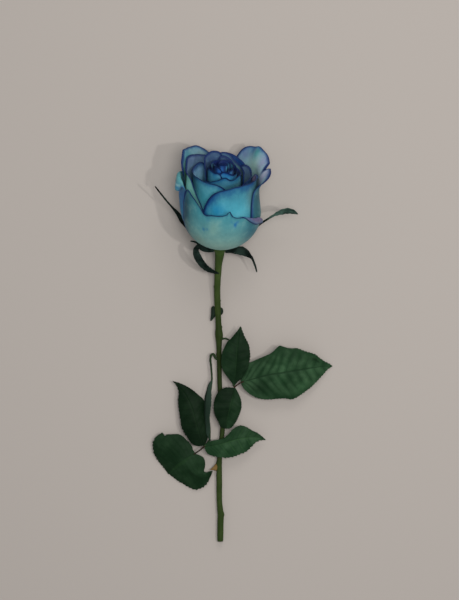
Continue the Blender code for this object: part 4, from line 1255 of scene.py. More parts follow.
@dataclass(frozen=True)
class LeafFinish:
    """The finish of a leaflet: a dark blade, lighter between its veins on the upper side, dull below.

    Lines are from where they are full to where they end, as shares of the distance between side veins, or for the
    midrib and the veins' ends, of the blade's half width.
    """

    base: Colour
    light: Colour
    vein: Colour
    below: Colour
    dark_vein: Colour
    roughness: float = 0.42
    shine: float = 0.035

    CLOUD = Noise(110.0)
    CLOUDED = (0.35, 0.75)
    FINE = Noise(1300.0, 4.0)
    NET_SCALE = 1100.0
    NET_LINES = (0.0, 0.25)
    VEIN_BENDS = 0.20
    VEIN_ENDS = (0.55, 0.98)
    VEIN_LINE = (0.03, 0.11)
    MIDRIB_LINE = (0.02, 0.06)
    BETWEEN = (0.12, 0.42)
    DARKENED = (0.7, 0.9)
    RELIEF_STRENGTH = 0.35
    RELIEF_DEPTH = 0.00025

    def material(self, name: str) -> bpy.types.Material:
        """The material, from how far each point lies across and along the blade.

        The side veins lie where the slanted distance along the blade is a whole number, and the midrib where the
        distance across is nought. They are light on a plain blade and dark on one with much contrast.

        Args:
            name: the material's name.

        Returns:
            The material.
        """
        bench = Bench(name)
        place = bench.place()
        across, slant, upper = bench.parts(bench.vector("blade"))
        tone = bench.number("tone")
        cloud = bench.noise(place, self.CLOUD)
        fine = bench.noise(place, self.FINE)
        cells = {"Vector": place, "Scale": self.NET_SCALE}
        net = bench.node("ShaderNodeTexVoronoi", {"feature": "DISTANCE_TO_EDGE"}, cells)[0]
        from_vein = (slant + (cloud - 0.5) * self.VEIN_BENDS).to_nearest()
        reach = 1.0 - across.absolute().step(*self.VEIN_ENDS)
        side_vein = (1.0 - from_vein.step(*self.VEIN_LINE)) * reach
        midrib = 1.0 - across.absolute().step(*self.MIDRIB_LINE)
        between = from_vein.step(*self.BETWEEN) * reach
        contrast = bench.number("contrast")
        patchy = cloud.step(*self.CLOUDED) * (0.35 + contrast * 0.2) + between * contrast * cloud * 0.55
        colour = bench.mix(patchy, self.base, self.light)
        drawn = (side_vein * contrast * 0.5).apply("MAXIMUM", midrib * (0.15 + contrast * 0.6))
        colour = bench.mix(drawn, colour, bench.mix(contrast.step(*self.DARKENED), self.vein, self.dark_vein))
        colour = bench.shaded(colour, (0.66 + fine * 0.28 + cloud * 0.40) * tone)
        colour = bench.mix(1.0 - upper, colour, bench.shaded(self.below, (0.8 + fine * 0.4) * tone))
        bench.feed("Base Color", colour)
        bench.feed("Roughness", self.roughness - 0.05 + fine * 0.2)
        bench.feed("Specular IOR Level", self.shine)
        height = net.step(*self.NET_LINES) * 0.10 + fine * 0.25 - side_vein * (0.2 + contrast * 0.3) - midrib * 0.6
        bench.relief(height, self.RELIEF_STRENGTH, self.RELIEF_DEPTH)
        return bench.material


@dataclass
class Leaflet:
    """A leaflet as three lines of points from its base to its tip, with the sizes of its teeth and veins.

    Teeth, bare base shares and tones are given for the left and the right half; a tone can carry painted shade. Marks
    of stain, painted shade and painted sheen are rows of the share of the length, the share across, the spread and the
    darkness, which is below nought for a lighter mark. A right half with a deep notch has a guide: rows of the share of
    the length and the place that it passes on its way from the midrib. Ease is the spread, in rows, by which a margin
    is smoothed for the blade inside it, and contrast is how clearly the veins' pattern shows.
    """

    midrib: Rows
    left: Rows
    right: Rows
    tones: tuple[float, float] = (1.0, 1.0)
    tip_tone: float = 1.0
    teeth: tuple[float, float] = (0.9, 0.9)
    bare: tuple[float, float] = (0.08, 0.08)
    tooth_step: float = 2.4
    veins: float = 8.0
    arch: float = 0.9
    pucker: float = 0.30
    wave: float = 0.35
    phase: float = 0.0
    sweep: float = 0.2
    stains_shade_and_sheen: Rows = field(default_factory=list)
    contrast: float = 0.35
    ease: float = 8.0
    guide: Rows = field(default_factory=list)
    turned_over: bool = False

    ROW_STEP = 0.3
    HALF_COLUMNS = 18
    CROWDING = 1.4
    WALL = 0.34
    DENTED = 0.4
    TOOTHED = 0.78
    GUIDED = 0.6
    CREST = 0.78
    TOOTH_POWER = 1.3
    TOOTH_MEAN = 0.85
    TOOTH_SWING = 0.3
    TOOTH_PACE = 2.4
    TOOTH_CUT = 0.4
    TOOTH_LEAN = 0.4
    BARE_FADE = 0.05
    TIP_FADE = 0.04
    SWEEP_POWER = 1.2
    BROAD_POWER = 0.9
    BROAD_FADE = 0.06
    MIDRIB_DEPTH = 0.25
    MIDRIB_WIDTH = 0.05
    MIDRIB_FADE = 0.05
    RIPPLES = 3.3
    RIPPLE_SHIFT = 1.6
    TONES_MEET = 0.1
    STAIN_BREADTH = 3.0

    def margin(self, line: Rows, middle: Array, tooth: float, bare: float) -> tuple[Array, Array, Array]:
        """One toothed margin.

        The eased margin is what the blade inside follows, and its dents and teeth are kept to the last of it. Each
        tooth rises slowly over most of its step and falls back over the rest, and leans towards the tip. Teeth fade
        out at the base and the tip.

        Args:
            line: the margin's own points.
            middle: the midrib, row by row.
            tooth: how tall a tooth is.
            bare: the share of the margin, from its base, that has no teeth.

        Returns:
            The eased margin's place in each row, how far its dents move it, and how far its teeth do.
        """
        edge = line_through(line, len(middle))
        plain = eased(edge, self.ease)
        ahead = unit(np.gradient(edge, axis=0))
        outward = edge - middle
        outward = unit(outward - ahead * np.sum(outward * ahead, axis=1, keepdims=True))
        along = np.concatenate([[0.0], np.cumsum(np.linalg.norm(np.diff(edge, axis=0), axis=1))])
        turn = along / self.tooth_step + self.phase
        share = turn % 1.0
        rise = np.where(share < self.CREST, (share / self.CREST) ** self.TOOTH_POWER, (1 - share) / (1 - self.CREST))
        size = tooth * (self.TOOTH_MEAN + self.TOOTH_SWING * np.sin(self.TOOTH_PACE * np.floor(turn) + self.phase))
        gone = along / along[-1]
        ends = smoothstep(bare, bare + self.BARE_FADE, gone) * smoothstep(0.0, self.TIP_FADE, 1 - gone)
        moved = outward * (rise - self.TOOTH_CUT)[:, None] + ahead * (self.TOOTH_LEAN * rise)[:, None]
        return plain, edge - plain, moved * (size * ends)[:, None]

    def bowed(self, middle: Array, edge: Array) -> Array:
        """How far each row of the right half is bowed to pass through the guide.

        A row is a parabola through the midrib, the guide and the margin.

        Args:
            middle: the midrib, row by row.
            edge: the margin, row by row.

        Returns:
            What the share across times the rest of it is multiplied by, in each row.
        """
        guide = np.array(self.guide)
        share = np.linspace(0, 1, len(middle))
        way = np.stack([smooth(share, guide[:, 0], guide[:, column]) for column in (1, 2)], axis=1)
        straight = middle + (edge - middle) * self.GUIDED
        bow = (way - straight[:, :2]) / (self.GUIDED * (1 - self.GUIDED))
        return np.concatenate([bow, np.zeros((len(bow), 1))], axis=1)

    def flat(self, middle: Array, out: Array) -> Array:
        """The blade before it is raised: each row runs from one margin through the midrib to the other.

        Args:
            middle: the midrib, row by row.
            out: the columns' shares of the way from the midrib to a margin.

        Returns:
            The grid of points.
        """
        halves = []
        for line, tooth, bare in zip((self.left, self.right), self.teeth, self.bare):
            edge, dents, teeth = self.margin(line, middle, tooth, bare)
            half = middle[:, None] + (edge - middle)[:, None] * out[:, None]
            if line is self.right and self.guide:
                half = half + self.bowed(middle, edge)[:, None] * (out * (1 - out))[:, None]
            half = half + dents[:, None] * smoothstep(self.DENTED, 1.0, out)[:, None]
            halves.append(half + teeth[:, None] * smoothstep(self.TOOTHED, 1.0, out)[:, None])
        return np.concatenate([halves[0][:, ::-1], halves[1][:, 1:]], axis=1)

    def raised(self, share: Array, across: Array, slant: Array) -> Array:
        """How far the blade is raised: arched from midrib to margin, sunk along the veins and waved at its margins.

        The arch and the swelling between veins are parabolas of the share across, and the wave grows with its cube.
        All three fade towards both ends by a sine of the share of the length. The midrib is a bell-shaped groove.

        Args:
            share: the share of the length, row by row.
            across: the share across at each point, below nought on the left half.
            slant: the slanted distance along the blade, in side veins.

        Returns:
            The rise of each point.
        """
        far = np.abs(across)
        broad = np.sin(math.pi * share**self.BROAD_POWER) * smoothstep(0, self.BROAD_FADE, 1 - share)
        from_vein = np.abs((slant + 0.5) % 1.0 - 0.5)
        rise = self.arch * broad * (far - far**2) * 2
        rise = rise + self.pucker * broad * smoothstep(0.0, 0.5, from_vein) * far * (1 - far) * 4
        groove = np.exp(-((far / self.MIDRIB_WIDTH) ** 2)) * smoothstep(0, self.MIDRIB_FADE, 1 - share)
        ripple = np.sin(self.RIPPLES * FULL_TURN * share + self.phase + self.RIPPLE_SHIFT * np.sign(across))
        return rise - self.MIDRIB_DEPTH * groove + self.wave * far**3 * ripple * broad

    def toned(self, share: Array, across: Array) -> Array:
        """How light the blade is: a tone for each half, one for the tip, and bell-shaped marks of stain, painted shade
        and painted sheen.

        Args:
            share: the share of the length, row by row.
            across: the share across at each point.

        Returns:
            The tone of each point.
        """
        tone = np.interp(across, [-self.TONES_MEET, self.TONES_MEET], self.tones) * (1 + (self.tip_tone - 1) * share)
        for along, aside, spread, darkness in self.stains_shade_and_sheen:
            off = ((share - along) / spread) ** 2 + ((across - aside) / (self.STAIN_BREADTH * spread)) ** 2
            tone = tone * (1 - darkness * np.exp(-off))
        return tone

    def shell(self) -> Shell:
        """The leaflet as a thin closed sheet.

        Returns:
            The closed surface, with its place on the blade, its tone and its contrast as values.
        """
        lines = [np.array(line, float) for line in (self.midrib, self.left, self.right)]
        length = max(np.sum(np.linalg.norm(np.diff(line, axis=0), axis=1)) for line in lines)
        count = int(length / self.ROW_STEP) + 2
        share = np.linspace(0, 1, count)[:, None]
        out = 1 - (1 - np.linspace(0, 1, self.HALF_COLUMNS + 1)) ** self.CROWDING
        grid = self.flat(line_through(self.midrib, count), out)
        across = np.concatenate([-out[::-1], out[1:]])[None, :] + 0 * share
        slant = self.veins * (share - self.sweep * np.abs(across) ** self.SWEEP_POWER * (1 - share)) + self.phase
        grid[..., 2] = np.maximum(grid[..., 2] + self.raised(share, across, slant), self.WALL / 2)
        tone = self.toned(share, across)
        lower = np.stack([across, slant, 0 * slant], axis=-1)
        upper = lower + UPRIGHT
        faces_up = np.mean(np.cross(np.gradient(grid, axis=1), np.gradient(grid, axis=0))[..., 2]) > 0
        values = {
            "blade": np.stack([upper, lower] if faces_up != self.turned_over else [lower, upper]),
            "tone": np.stack([tone, tone]),
            "contrast": np.full((2, *slant.shape), self.contrast),
        }
        return sheet(grid, np.full(slant.shape, self.WALL), values)


@dataclass
class Stalk:
    """A leaf's stalk: a slim tube through rows of a place and a radius, as a number of rings."""

    rows: Rows
    count: int

    SIDES = 14
    SWELL = 0.06
    SWELL_PACE = 0.9
    FLOW_STEP = 0.5
    FLOW_ROUND = 4.0

    def shell(self) -> Shell:
        """The stalk as a closed tube, a little swollen and pinched along its length by a sine of the row.

        Returns:
            The closed surface.
        """
        line = line_through(self.rows, self.count)
        swell = 1 + self.SWELL * np.sin(np.arange(self.count) * self.SWELL_PACE)
        radius = (line[:, 3] * swell)[:, None] * np.ones(self.SIDES)
        along = np.linspace(0, self.count * self.FLOW_STEP, self.count)[:, None] * np.ones(self.SIDES)
        around = np.linspace(0, self.FLOW_ROUND, self.SIDES)[None, :] * np.ones((self.count, 1))
        flow = np.stack([around, along, 0 * along], axis=-1)
        return tube(line[:, :3], radius, {"flow": flow, "tone": np.ones(radius.shape)})


BLADE = LeafFinish(
    base=pigment(26, 53, 31),
    light=pigment(56, 84, 58),
    vein=pigment(50, 84, 48),
    below=pigment(52, 72, 60),
    dark_vein=pigment(24, 46, 28),
)
GREEN_STALK = GreenFinish(pigment(34, 52, 32), pigment(46, 64, 38), Grain.FIBROUS)
BROWN_STALK = GreenFinish(pigment(56, 34, 28), pigment(40, 36, 26), Grain.FIBROUS)


@dataclass
class Leaf:
    """A compound leaf, named as its node: toothed leaflets on a branched stalk."""

    name: str
    leaflets: list[Leaflet]
    petiole: Stalk
    rachis: Stalk
    blade_finish: LeafFinish = BLADE
    petiole_finish: GreenFinish = GREEN_STALK
    rachis_finish: GreenFinish = BROWN_STALK

    def build(self) -> list[bpy.types.Object]:
        """Builds the blades as one piece and each stalk as another.

        Returns:
            The pieces.
        """
        blades = Shell.joined([leaflet.shell() for leaflet in self.leaflets])
        return [
            blades.write(f"{self.name}_blades", self.blade_finish.material(f"{self.name}_blade")),
            self.petiole.shell().write(f"{self.name}_petiole", self.petiole_finish.material(f"{self.name}_petiole")),
            self.rachis.shell().write(f"{self.name}_rachis", self.rachis_finish.material(f"{self.name}_rachis")),
        ]


# Each leaf's leaflets, whose lines run from its stalk to their tips
RIGHT_LEAFLETS = [
    Leaflet(
        midrib=[(9.2, 99.4, 6.5), (10, 105.9, 7.9), (10.4, 112.1, 8.9), (10.8, 118.4, 9.5), (11.2, 124.6, 9.4),
                (12, 130.9, 9), (12.8, 135, 8.5), (13.5, 138.7, 8)],
        left=[(8.9, 99.4, 6.5), (7.5, 101.7, 7), (4.5, 105.9, 7.7), (2, 109.6, 8.1), (1, 113.4, 8.3), (1, 117.5, 8.5),
              (1.6, 121.7, 8.5), (3.2, 125.4, 8.5), (5.1, 128.8, 8.5), (6.9, 130.4, 8.4), (9.8, 133.8, 8.2),
              (12, 136.5, 8.1), (13.4, 138.7, 8)],
        right=[(9.4, 99.4, 6.5), (11.8, 102.4, 7.1), (14.3, 104.4, 7.6), (15.9, 107.6, 8), (17.7, 110.5, 8.3),
               (18.9, 114.6, 8.7), (19.6, 119.2, 8.7), (19.3, 123.4, 8.6), (18.7, 126.7, 8.5), (17.5, 129.2, 8.4),
               (15.9, 132.3, 8.2), (14.7, 135.4, 8.1), (13.6, 138.6, 8)],
        tones=(0.56, 0.46),
        phase=0.3,
        veins=7.0,
        pucker=0.12,
        teeth=(0.25, 0.42),
        bare=(0.4, 0.3),
        tooth_step=2.0,
    ),
    Leaflet(
        midrib=[(13.6, 101.7, 6.5), (18.3, 103, 7.2), (23.6, 104.6, 8), (29.3, 106.3, 8.7), (34.2, 107.4, 9.1),
                (39.5, 108, 9), (44, 108.8, 8.7), (49.7, 109.6, 7.8), (56.3, 110.5, 6.2), (62, 111.2, 4.5),
                (68.1, 111.6, 2.4), (74, 111.6, 0.5)],
        left=[(13.6, 102.2, 6.4), (15.5, 109.6, 6.6), (18.7, 114, 6.9), (23.2, 116.3, 7.3), (29.3, 119, 8.4),
              (33.4, 121.1, 9.1), (35.9, 123.4, 9.3), (37.5, 125, 9.4), (38.8, 126.1, 9.5), (41.6, 125.4, 9.4),
              (45.7, 124.2, 9), (50.6, 124.2, 8.2), (53.8, 122.9, 7.3), (57.9, 121.4, 6.2), (60.3, 120.7, 5.4),
              (63, 119.4, 4.4), (65.4, 117.3, 3.3), (68.5, 115, 2.2), (71.8, 113.2, 1.2), (74, 111.7, 0.5)],
        right=[(13.6, 101.3, 6.4), (15.1, 98.4, 6.4), (17.5, 95.7, 6.4), (20.4, 93.4, 6.4), (24.4, 91.4, 6.5),
               (29.3, 90.5, 6.6), (33.4, 90.5, 6.6), (38.3, 90.9, 6.5), (44, 90.9, 6.3), (46.9, 90.4, 6.1),
               (49.7, 91.4, 5.9), (53, 93.4, 5.6), (56.3, 95.7, 5.2), (59.9, 98.4, 4.7), (63.2, 101.5, 3.9),
               (66.1, 104.6, 2.9), (68.5, 107.1, 2.2), (70.9, 109.7, 1.3), (74, 111.5, 0.5)],
        tones=(0.92, 0.94),
        # Painted sheen: the blade grows lighter towards its tip.
        tip_tone=1.3,
        phase=0.1,
        veins=10.0,
        arch=0.7,
        pucker=0.38,
        sweep=0.34,
        teeth=(0.5, 0.5),
        bare=(0.62, 0.1),
        tooth_step=2.1,
        contrast=1.0,
        # The lighter marks are painted sheen and the darker ones near the base painted shade; the two small dark spots
        # near the tip are the leaflet's own marks.
        stains_shade_and_sheen=[(0.80, -0.62, 0.035, 0.6), (0.845, -0.52, 0.02, 0.5), (0.45, -0.2, 0.12, -0.3),
                (0.64, 0.7, 0.07, -0.45), (0.2, 0.5, 0.10, 0.3), (0.3, -0.9, 0.08, 0.25), (0.42, 0.25, 0.05, -0.3),
                (0.75, 0.1, 0.07, -0.25)],
    ),
    Leaflet(
        midrib=[(9.5, 98.1, 6.4), (8.7, 93.4, 7.2), (7.3, 87.9, 7.8), (6, 82.3, 7.7), (4.6, 76.8, 7.1),
                (4.1, 71.2, 6.3)],
        left=[(9.9, 98, 6.4), (11.9, 94.5, 6.8), (13.6, 90.1, 7.2), (13.9, 85.1, 7.5), (12, 79, 7.2), (9.3, 74, 6.8),
              (6.5, 71.2, 6.5), (4.2, 70.9, 6.3)],
        right=[(9.1, 98.1, 6.4), (3.2, 98, 6.9), (-0.6, 95.6, 7.2), (-3.4, 90.6, 7.5), (-4.1, 85.1, 7.6),
               (-3.3, 80.1, 7.4), (-1.1, 75.7, 7), (0.5, 72.3, 6.6), (2.2, 71.2, 6.5), (3.9, 70.9, 6.3)],
        tones=(0.66, 0.40),
        phase=0.7,
        veins=6.0,
        pucker=0.12,
        teeth=(0.3, 0.3),
        bare=(0.15, 0.25),
        tooth_step=1.7,
    ),
]
RIGHT_LEAF = Leaf(
    "leaf_right",
    RIGHT_LEAFLETS,
    petiole=Stalk([(0.7, 130.1, 3.2, 0.9), (2.3, 130.2, 3.7, 0.65), (3.6, 130.3, 4.1, 0.55), (5.4, 129.6, 4.6, 0.55),
                   (7, 123.2, 5, 0.55), (8.2, 110.9, 5.6, 0.6), (9.1, 99, 6.4, 0.75)], 90),
    rachis=Stalk([(9, 98.3, 6.4, 0.65), (10.8, 99.5, 6.5, 0.45), (12.8, 101, 6.6, 0.45),
                  (15.4, 102.2, 6.8, 0.5)], 30),
)

LEFT_LEAFLETS = [
    Leaflet(
        midrib=[(-10.6, 59.6, 5.8), (-13.1, 65.7, 6.8), (-15.3, 73.4, 7.7), (-17.4, 81.2, 7.6), (-20.1, 88.4, 7),
                (-24, 95.1, 5.7), (-27.8, 99.2, 4.9), (-31.1, 102, 4.2)],
        left=[(-11.2, 59.5, 5.8), (-15.3, 59.3, 5.7), (-18.5, 60.8, 5.7), (-21.2, 64.6, 5.7), (-24, 69, 5.7),
              (-25.3, 72.3, 5.7), (-26, 76.8, 5.7), (-26.7, 81.2, 5.6), (-27.3, 85.7, 5.3), (-27.5, 89.5, 5.1),
              (-27.1, 94, 4.8), (-28, 98.1, 4.5), (-29.4, 100.4, 4.3), (-31.1, 102.2, 4.2)],
        right=[(-10.2, 59.9, 5.8), (-8.2, 64.6, 5.4), (-8.5, 70.1, 5), (-9.2, 75.7, 4.7), (-9.7, 81.2, 4.5),
               (-10.1, 86.2, 4.5), (-10.9, 89.8, 4.6), (-14.2, 92.9, 4.8), (-18.5, 96.5, 5), (-24, 99.7, 4.8),
               (-27.8, 101.2, 4.5), (-31.1, 102, 4.2)],
        tones=(0.36, 0.36),
        phase=0.5,
        veins=8.0,
        pucker=0.1,
        teeth=(0.68, 0.15),
        bare=(0.22, 0.3),
    ),
    Leaflet(
        midrib=[(-6.2, 63.1, 5.7), (-8.5, 66.1, 6), (-9.3, 73.4, 6.4), (-9.3, 83.4, 6.6), (-8.8, 92.8, 6.6),
                (-6.6, 101.4, 6.5), (-5.1, 103.4, 6.4)],
        left=[(-6.6, 62.8, 5.6), (-8.6, 66.1, 5.3), (-9.8, 71.5, 4.8), (-10.5, 76.8, 4.4), (-10.5, 86.8, 4.3),
              (-10, 91.8, 4.5), (-8.9, 96.1, 4.9), (-7.1, 101, 5.7), (-5.2, 103.4, 6.2)],
        right=[(-5.9, 63.1, 6), (-7.2, 65.5, 7.4), (-6.8, 68.8, 9.1), (-6.6, 74.1, 11.2), (-7, 78.1, 12.4),
               (-6.4, 83.4, 13.5), (-5.9, 87.4, 13), (-5.7, 92.8, 11.6), (-5.8, 98.7, 9), (-4.9, 103.3, 6.9)],
        # Painted shade: the folded leaflet's left half is darker.
        tones=(0.45, 1.1),
        phase=0.9,
        veins=7.0,
        arch=0.1,
        pucker=0.06,
        wave=0.1,
        teeth=(0.2, 0.6),
        turned_over=True,
    ),
    Leaflet(
        midrib=[(-10.4, 58.8, 5.9), (-4.4, 59.6, 6.9), (1.6, 61.2, 7.7), (8.1, 63.2, 8.1), (14.7, 64.6, 7.6),
                (21.2, 65.1, 6.3), (26.1, 64.6, 4.9), (29.9, 63, 3.6)],
        left=[(-10.4, 59.1, 5.9), (-8.2, 61.7, 6.5), (-5.5, 62.8, 7), (-2.2, 63.5, 7.4), (2.2, 64.6, 7.9),
              (5.4, 67.3, 8.2), (8.7, 71, 8.5), (10.9, 72.3, 8.4), (13.3, 73.1, 8.3), (16.8, 72.3, 7.9),
              (21.2, 69.6, 6.9), (24.4, 67.9, 5.9), (27.2, 65.7, 4.8), (29.9, 63.2, 3.6)],
        right=[(-10.2, 58.2, 5.9), (-9.5, 56.3, 6), (-8.2, 54.3, 6.1), (-3.8, 52.6, 6.4), (1.6, 51.8, 6.8),
               (6.5, 51.9, 7), (10.9, 53.2, 6.9), (13.6, 54.3, 6.7), (17.6, 56, 6.2), (20.6, 58.8, 5.5),
               (23.9, 61.8, 4.7), (27.2, 63, 4.1), (29.9, 62.9, 3.6)],
        tones=(0.95, 1.12),
        contrast=0.6,
        phase=0.2,
        veins=7.0,
        pucker=0.15,
        sweep=0.3,
        teeth=(0.25, 0.72),
        bare=(0.5, 0.15),
        tooth_step=2.5,
    ),
    Leaflet(
        midrib=[(-16.1, 54.3, 6.2), (-20.1, 52.1, 7.4), (-24, 49.3, 7.6), (-27.8, 46.3, 5.9), (-31, 42.9, 3.4),
                (-34.3, 39.6, 0.8)],
        left=[(-16.3, 54.7, 6.2), (-18.2, 57.1, 6.2), (-18.5, 59, 6.2), (-19.6, 60.7, 6.2), (-22.3, 63.4, 6),
              (-24.8, 65.8, 5.9), (-27.2, 66.9, 5.7), (-29.9, 67, 5.5), (-32.1, 66.8, 5.3), (-35.4, 66.5, 4.9),
              (-36.4, 65.6, 4.8), (-37.1, 66.7, 4.7), (-38.1, 67.9, 4.5), (-39.2, 67.2, 4.4), (-41.4, 65.7, 4.1),
              (-43.3, 63.5, 3.7), (-44.2, 61, 3.3), (-44.1, 56.8, 2.6), (-43.3, 53.2, 2), (-41.6, 49.9, 1.4),
              (-39.7, 47.1, 1), (-37.5, 44.3, 0.7), (-35.1, 41, 0.4)],
        right=[(-15.8, 54, 6.2), (-13.6, 53.2, 6), (-10.9, 51.2, 5.6), (-10, 47.9, 5.1), (-10.1, 45.2, 4.6),
               (-10.5, 41.9, 4), (-9.3, 41.4, 3.8), (-7.4, 41.8, 3.4), (-5.2, 42.1, 2.9), (-5.7, 39.9, 2.5),
               (-6.8, 37.4, 2), (-8.2, 34.3, 1.6), (-10.4, 31.8, 1.3), (-13.1, 30.2, 1.2), (-16.3, 29.4, 1.2),
               (-20.1, 30.7, 1.2), (-24, 33, 1), (-27.8, 35.2, 0.8), (-31.6, 38, 0.6), (-34.8, 40.7, 0.4)],
        tones=(0.62, 0.68),
        ease=4.0,
        guide=[(0, -15.95, 54.1), (0.094, -13.7, 52), (0.15, -13.7, 49.8), (0.195, -13.9, 47.2), (0.25, -14.2, 43.6),
               (0.271, -14.2, 42.4), (0.304, -13.8, 40.8), (0.34, -13.2, 39.4), (0.378, -13.2, 38.3),
               (0.422, -13.6, 37.6), (0.479, -14.6, 36.9), (0.533, -16, 36), (0.586, -18, 35.4), (0.64, -20.4, 35.2),
               (0.706, -23.5, 35.9), (0.78, -26.6, 37.1), (0.853, -29.4, 38), (0.93, -32.2, 39.1), (1, -34.6, 40.2)],
        phase=0.6,
        veins=9.0,
        arch=0.5,
        pucker=0.08,
        wave=0.2,
        teeth=(0.85, 0.85),
        bare=(0.56, 0.44),
    ),
]
LEFT_LEAF = Leaf(
    "leaf_left",
    LEFT_LEAFLETS,
    petiole=Stalk([(-1.7, 116.4, 2.8, 0.8), (-3.2, 117.6, 2.9, 0.8), (-4, 119.4, 3.1, 0.85), (-4.9, 119.9, 3.3, 0.85),
                   (-5.8, 119.3, 3.5, 0.8), (-6.3, 117.4, 3.6, 0.75), (-5.9, 112, 3.8, 0.65), (-5.4, 104.8, 4, 0.6),
                   (-6.6, 92.5, 4.1, 0.6), (-7.4, 78.2, 4.3, 0.6), (-6.8, 67.9, 4.6, 0.6), (-7.4, 62.4, 5.2, 0.65),
                   (-10.6, 58.8, 5.8, 0.75)], 160),
    rachis=Stalk([(-10, 59.3, 5.8, 0.65), (-13.2, 56.6, 6, 0.45), (-17.4, 53.8, 6.5, 0.5)], 30),
)


@dataclass
class Sepal:
    """A sepal: a narrow blade through rows of the bloom's x, its depth towards the table, its height and its width.

    Its last third can be lighter than the rest.
    """

    rows: Rows
    teeth: float = 0.0
    fold: float = 0.22
    tip_tone: float = 1.0

    COUNT = 90
    COLUMNS = 13
    WALL = 0.42
    FACING = (0.0, -1.0, 0.2)
    NARROWEST = 0.4
    JAGGED = (0.6, 0.8)
    JAG_PACE = 95.0
    JAG_FADE = 0.1
    FRAYS = ((0.03, 41.0), (0.02, 93.0))
    FOLD_LEVEL = 0.25
    RIPPLE = 0.04
    RIPPLE_PACES = (9.0, 6.0)
    TIP = (0.6, 0.75)
    FLOW_WIDE = 1.5
    FLOW_LONG = 40.0

    def shell(self) -> Shell:
        """The sepal as a thin closed sheet, folded at its middle, and frayed and jagged along its margins by sines.

        Returns:
            The closed surface.
        """
        line = line_through(self.rows, self.COUNT)
        along = np.gradient(line[:, :3], axis=0)
        side = unit(np.cross(along, np.array(self.FACING)))
        normal = unit(np.cross(side, along))
        share = np.linspace(0, 1, self.COUNT)
        jag = self.teeth * smoothstep(*self.JAGGED, share) * smoothstep(0.0, self.JAG_FADE, 1 - share)
        jag = jag * (0.5 + 0.5 * np.sin(share * self.JAG_PACE))
        fray = sum(size * np.sin(share * pace) for size, pace in self.FRAYS)
        width = (np.maximum(line[:, 3], self.NARROWEST) * (1 + fray) + jag)[:, None, None]
        across = np.linspace(-0.5, 0.5, self.COLUMNS)[None, :, None]
        ripple = np.sin(across * self.RIPPLE_PACES[0] + self.RIPPLE_PACES[1] * share[:, None, None])
        raised = (np.abs(across) - self.FOLD_LEVEL) * self.fold * width + self.RIPPLE * width * ripple
        grid = line[:, None, :3] + side[:, None] * across * width + normal[:, None] * raised
        middle = PLACING.in_rose(grid)
        middle[..., 2] = np.maximum(middle[..., 2], self.WALL / 2)
        wide = across[..., 0] * width[..., 0] * self.FLOW_WIDE
        flow = np.stack([wide, share[:, None] * self.FLOW_LONG + 0 * wide, 0 * wide], axis=-1)
        wall = np.full(wide.shape, self.WALL)
        tone = 1 + (self.tip_tone - 1) * smoothstep(*self.TIP, share)[:, None] + 0 * wide
        return sheet(middle, wall, {"flow": np.stack([flow, flow]), "tone": np.stack([tone, tone])})


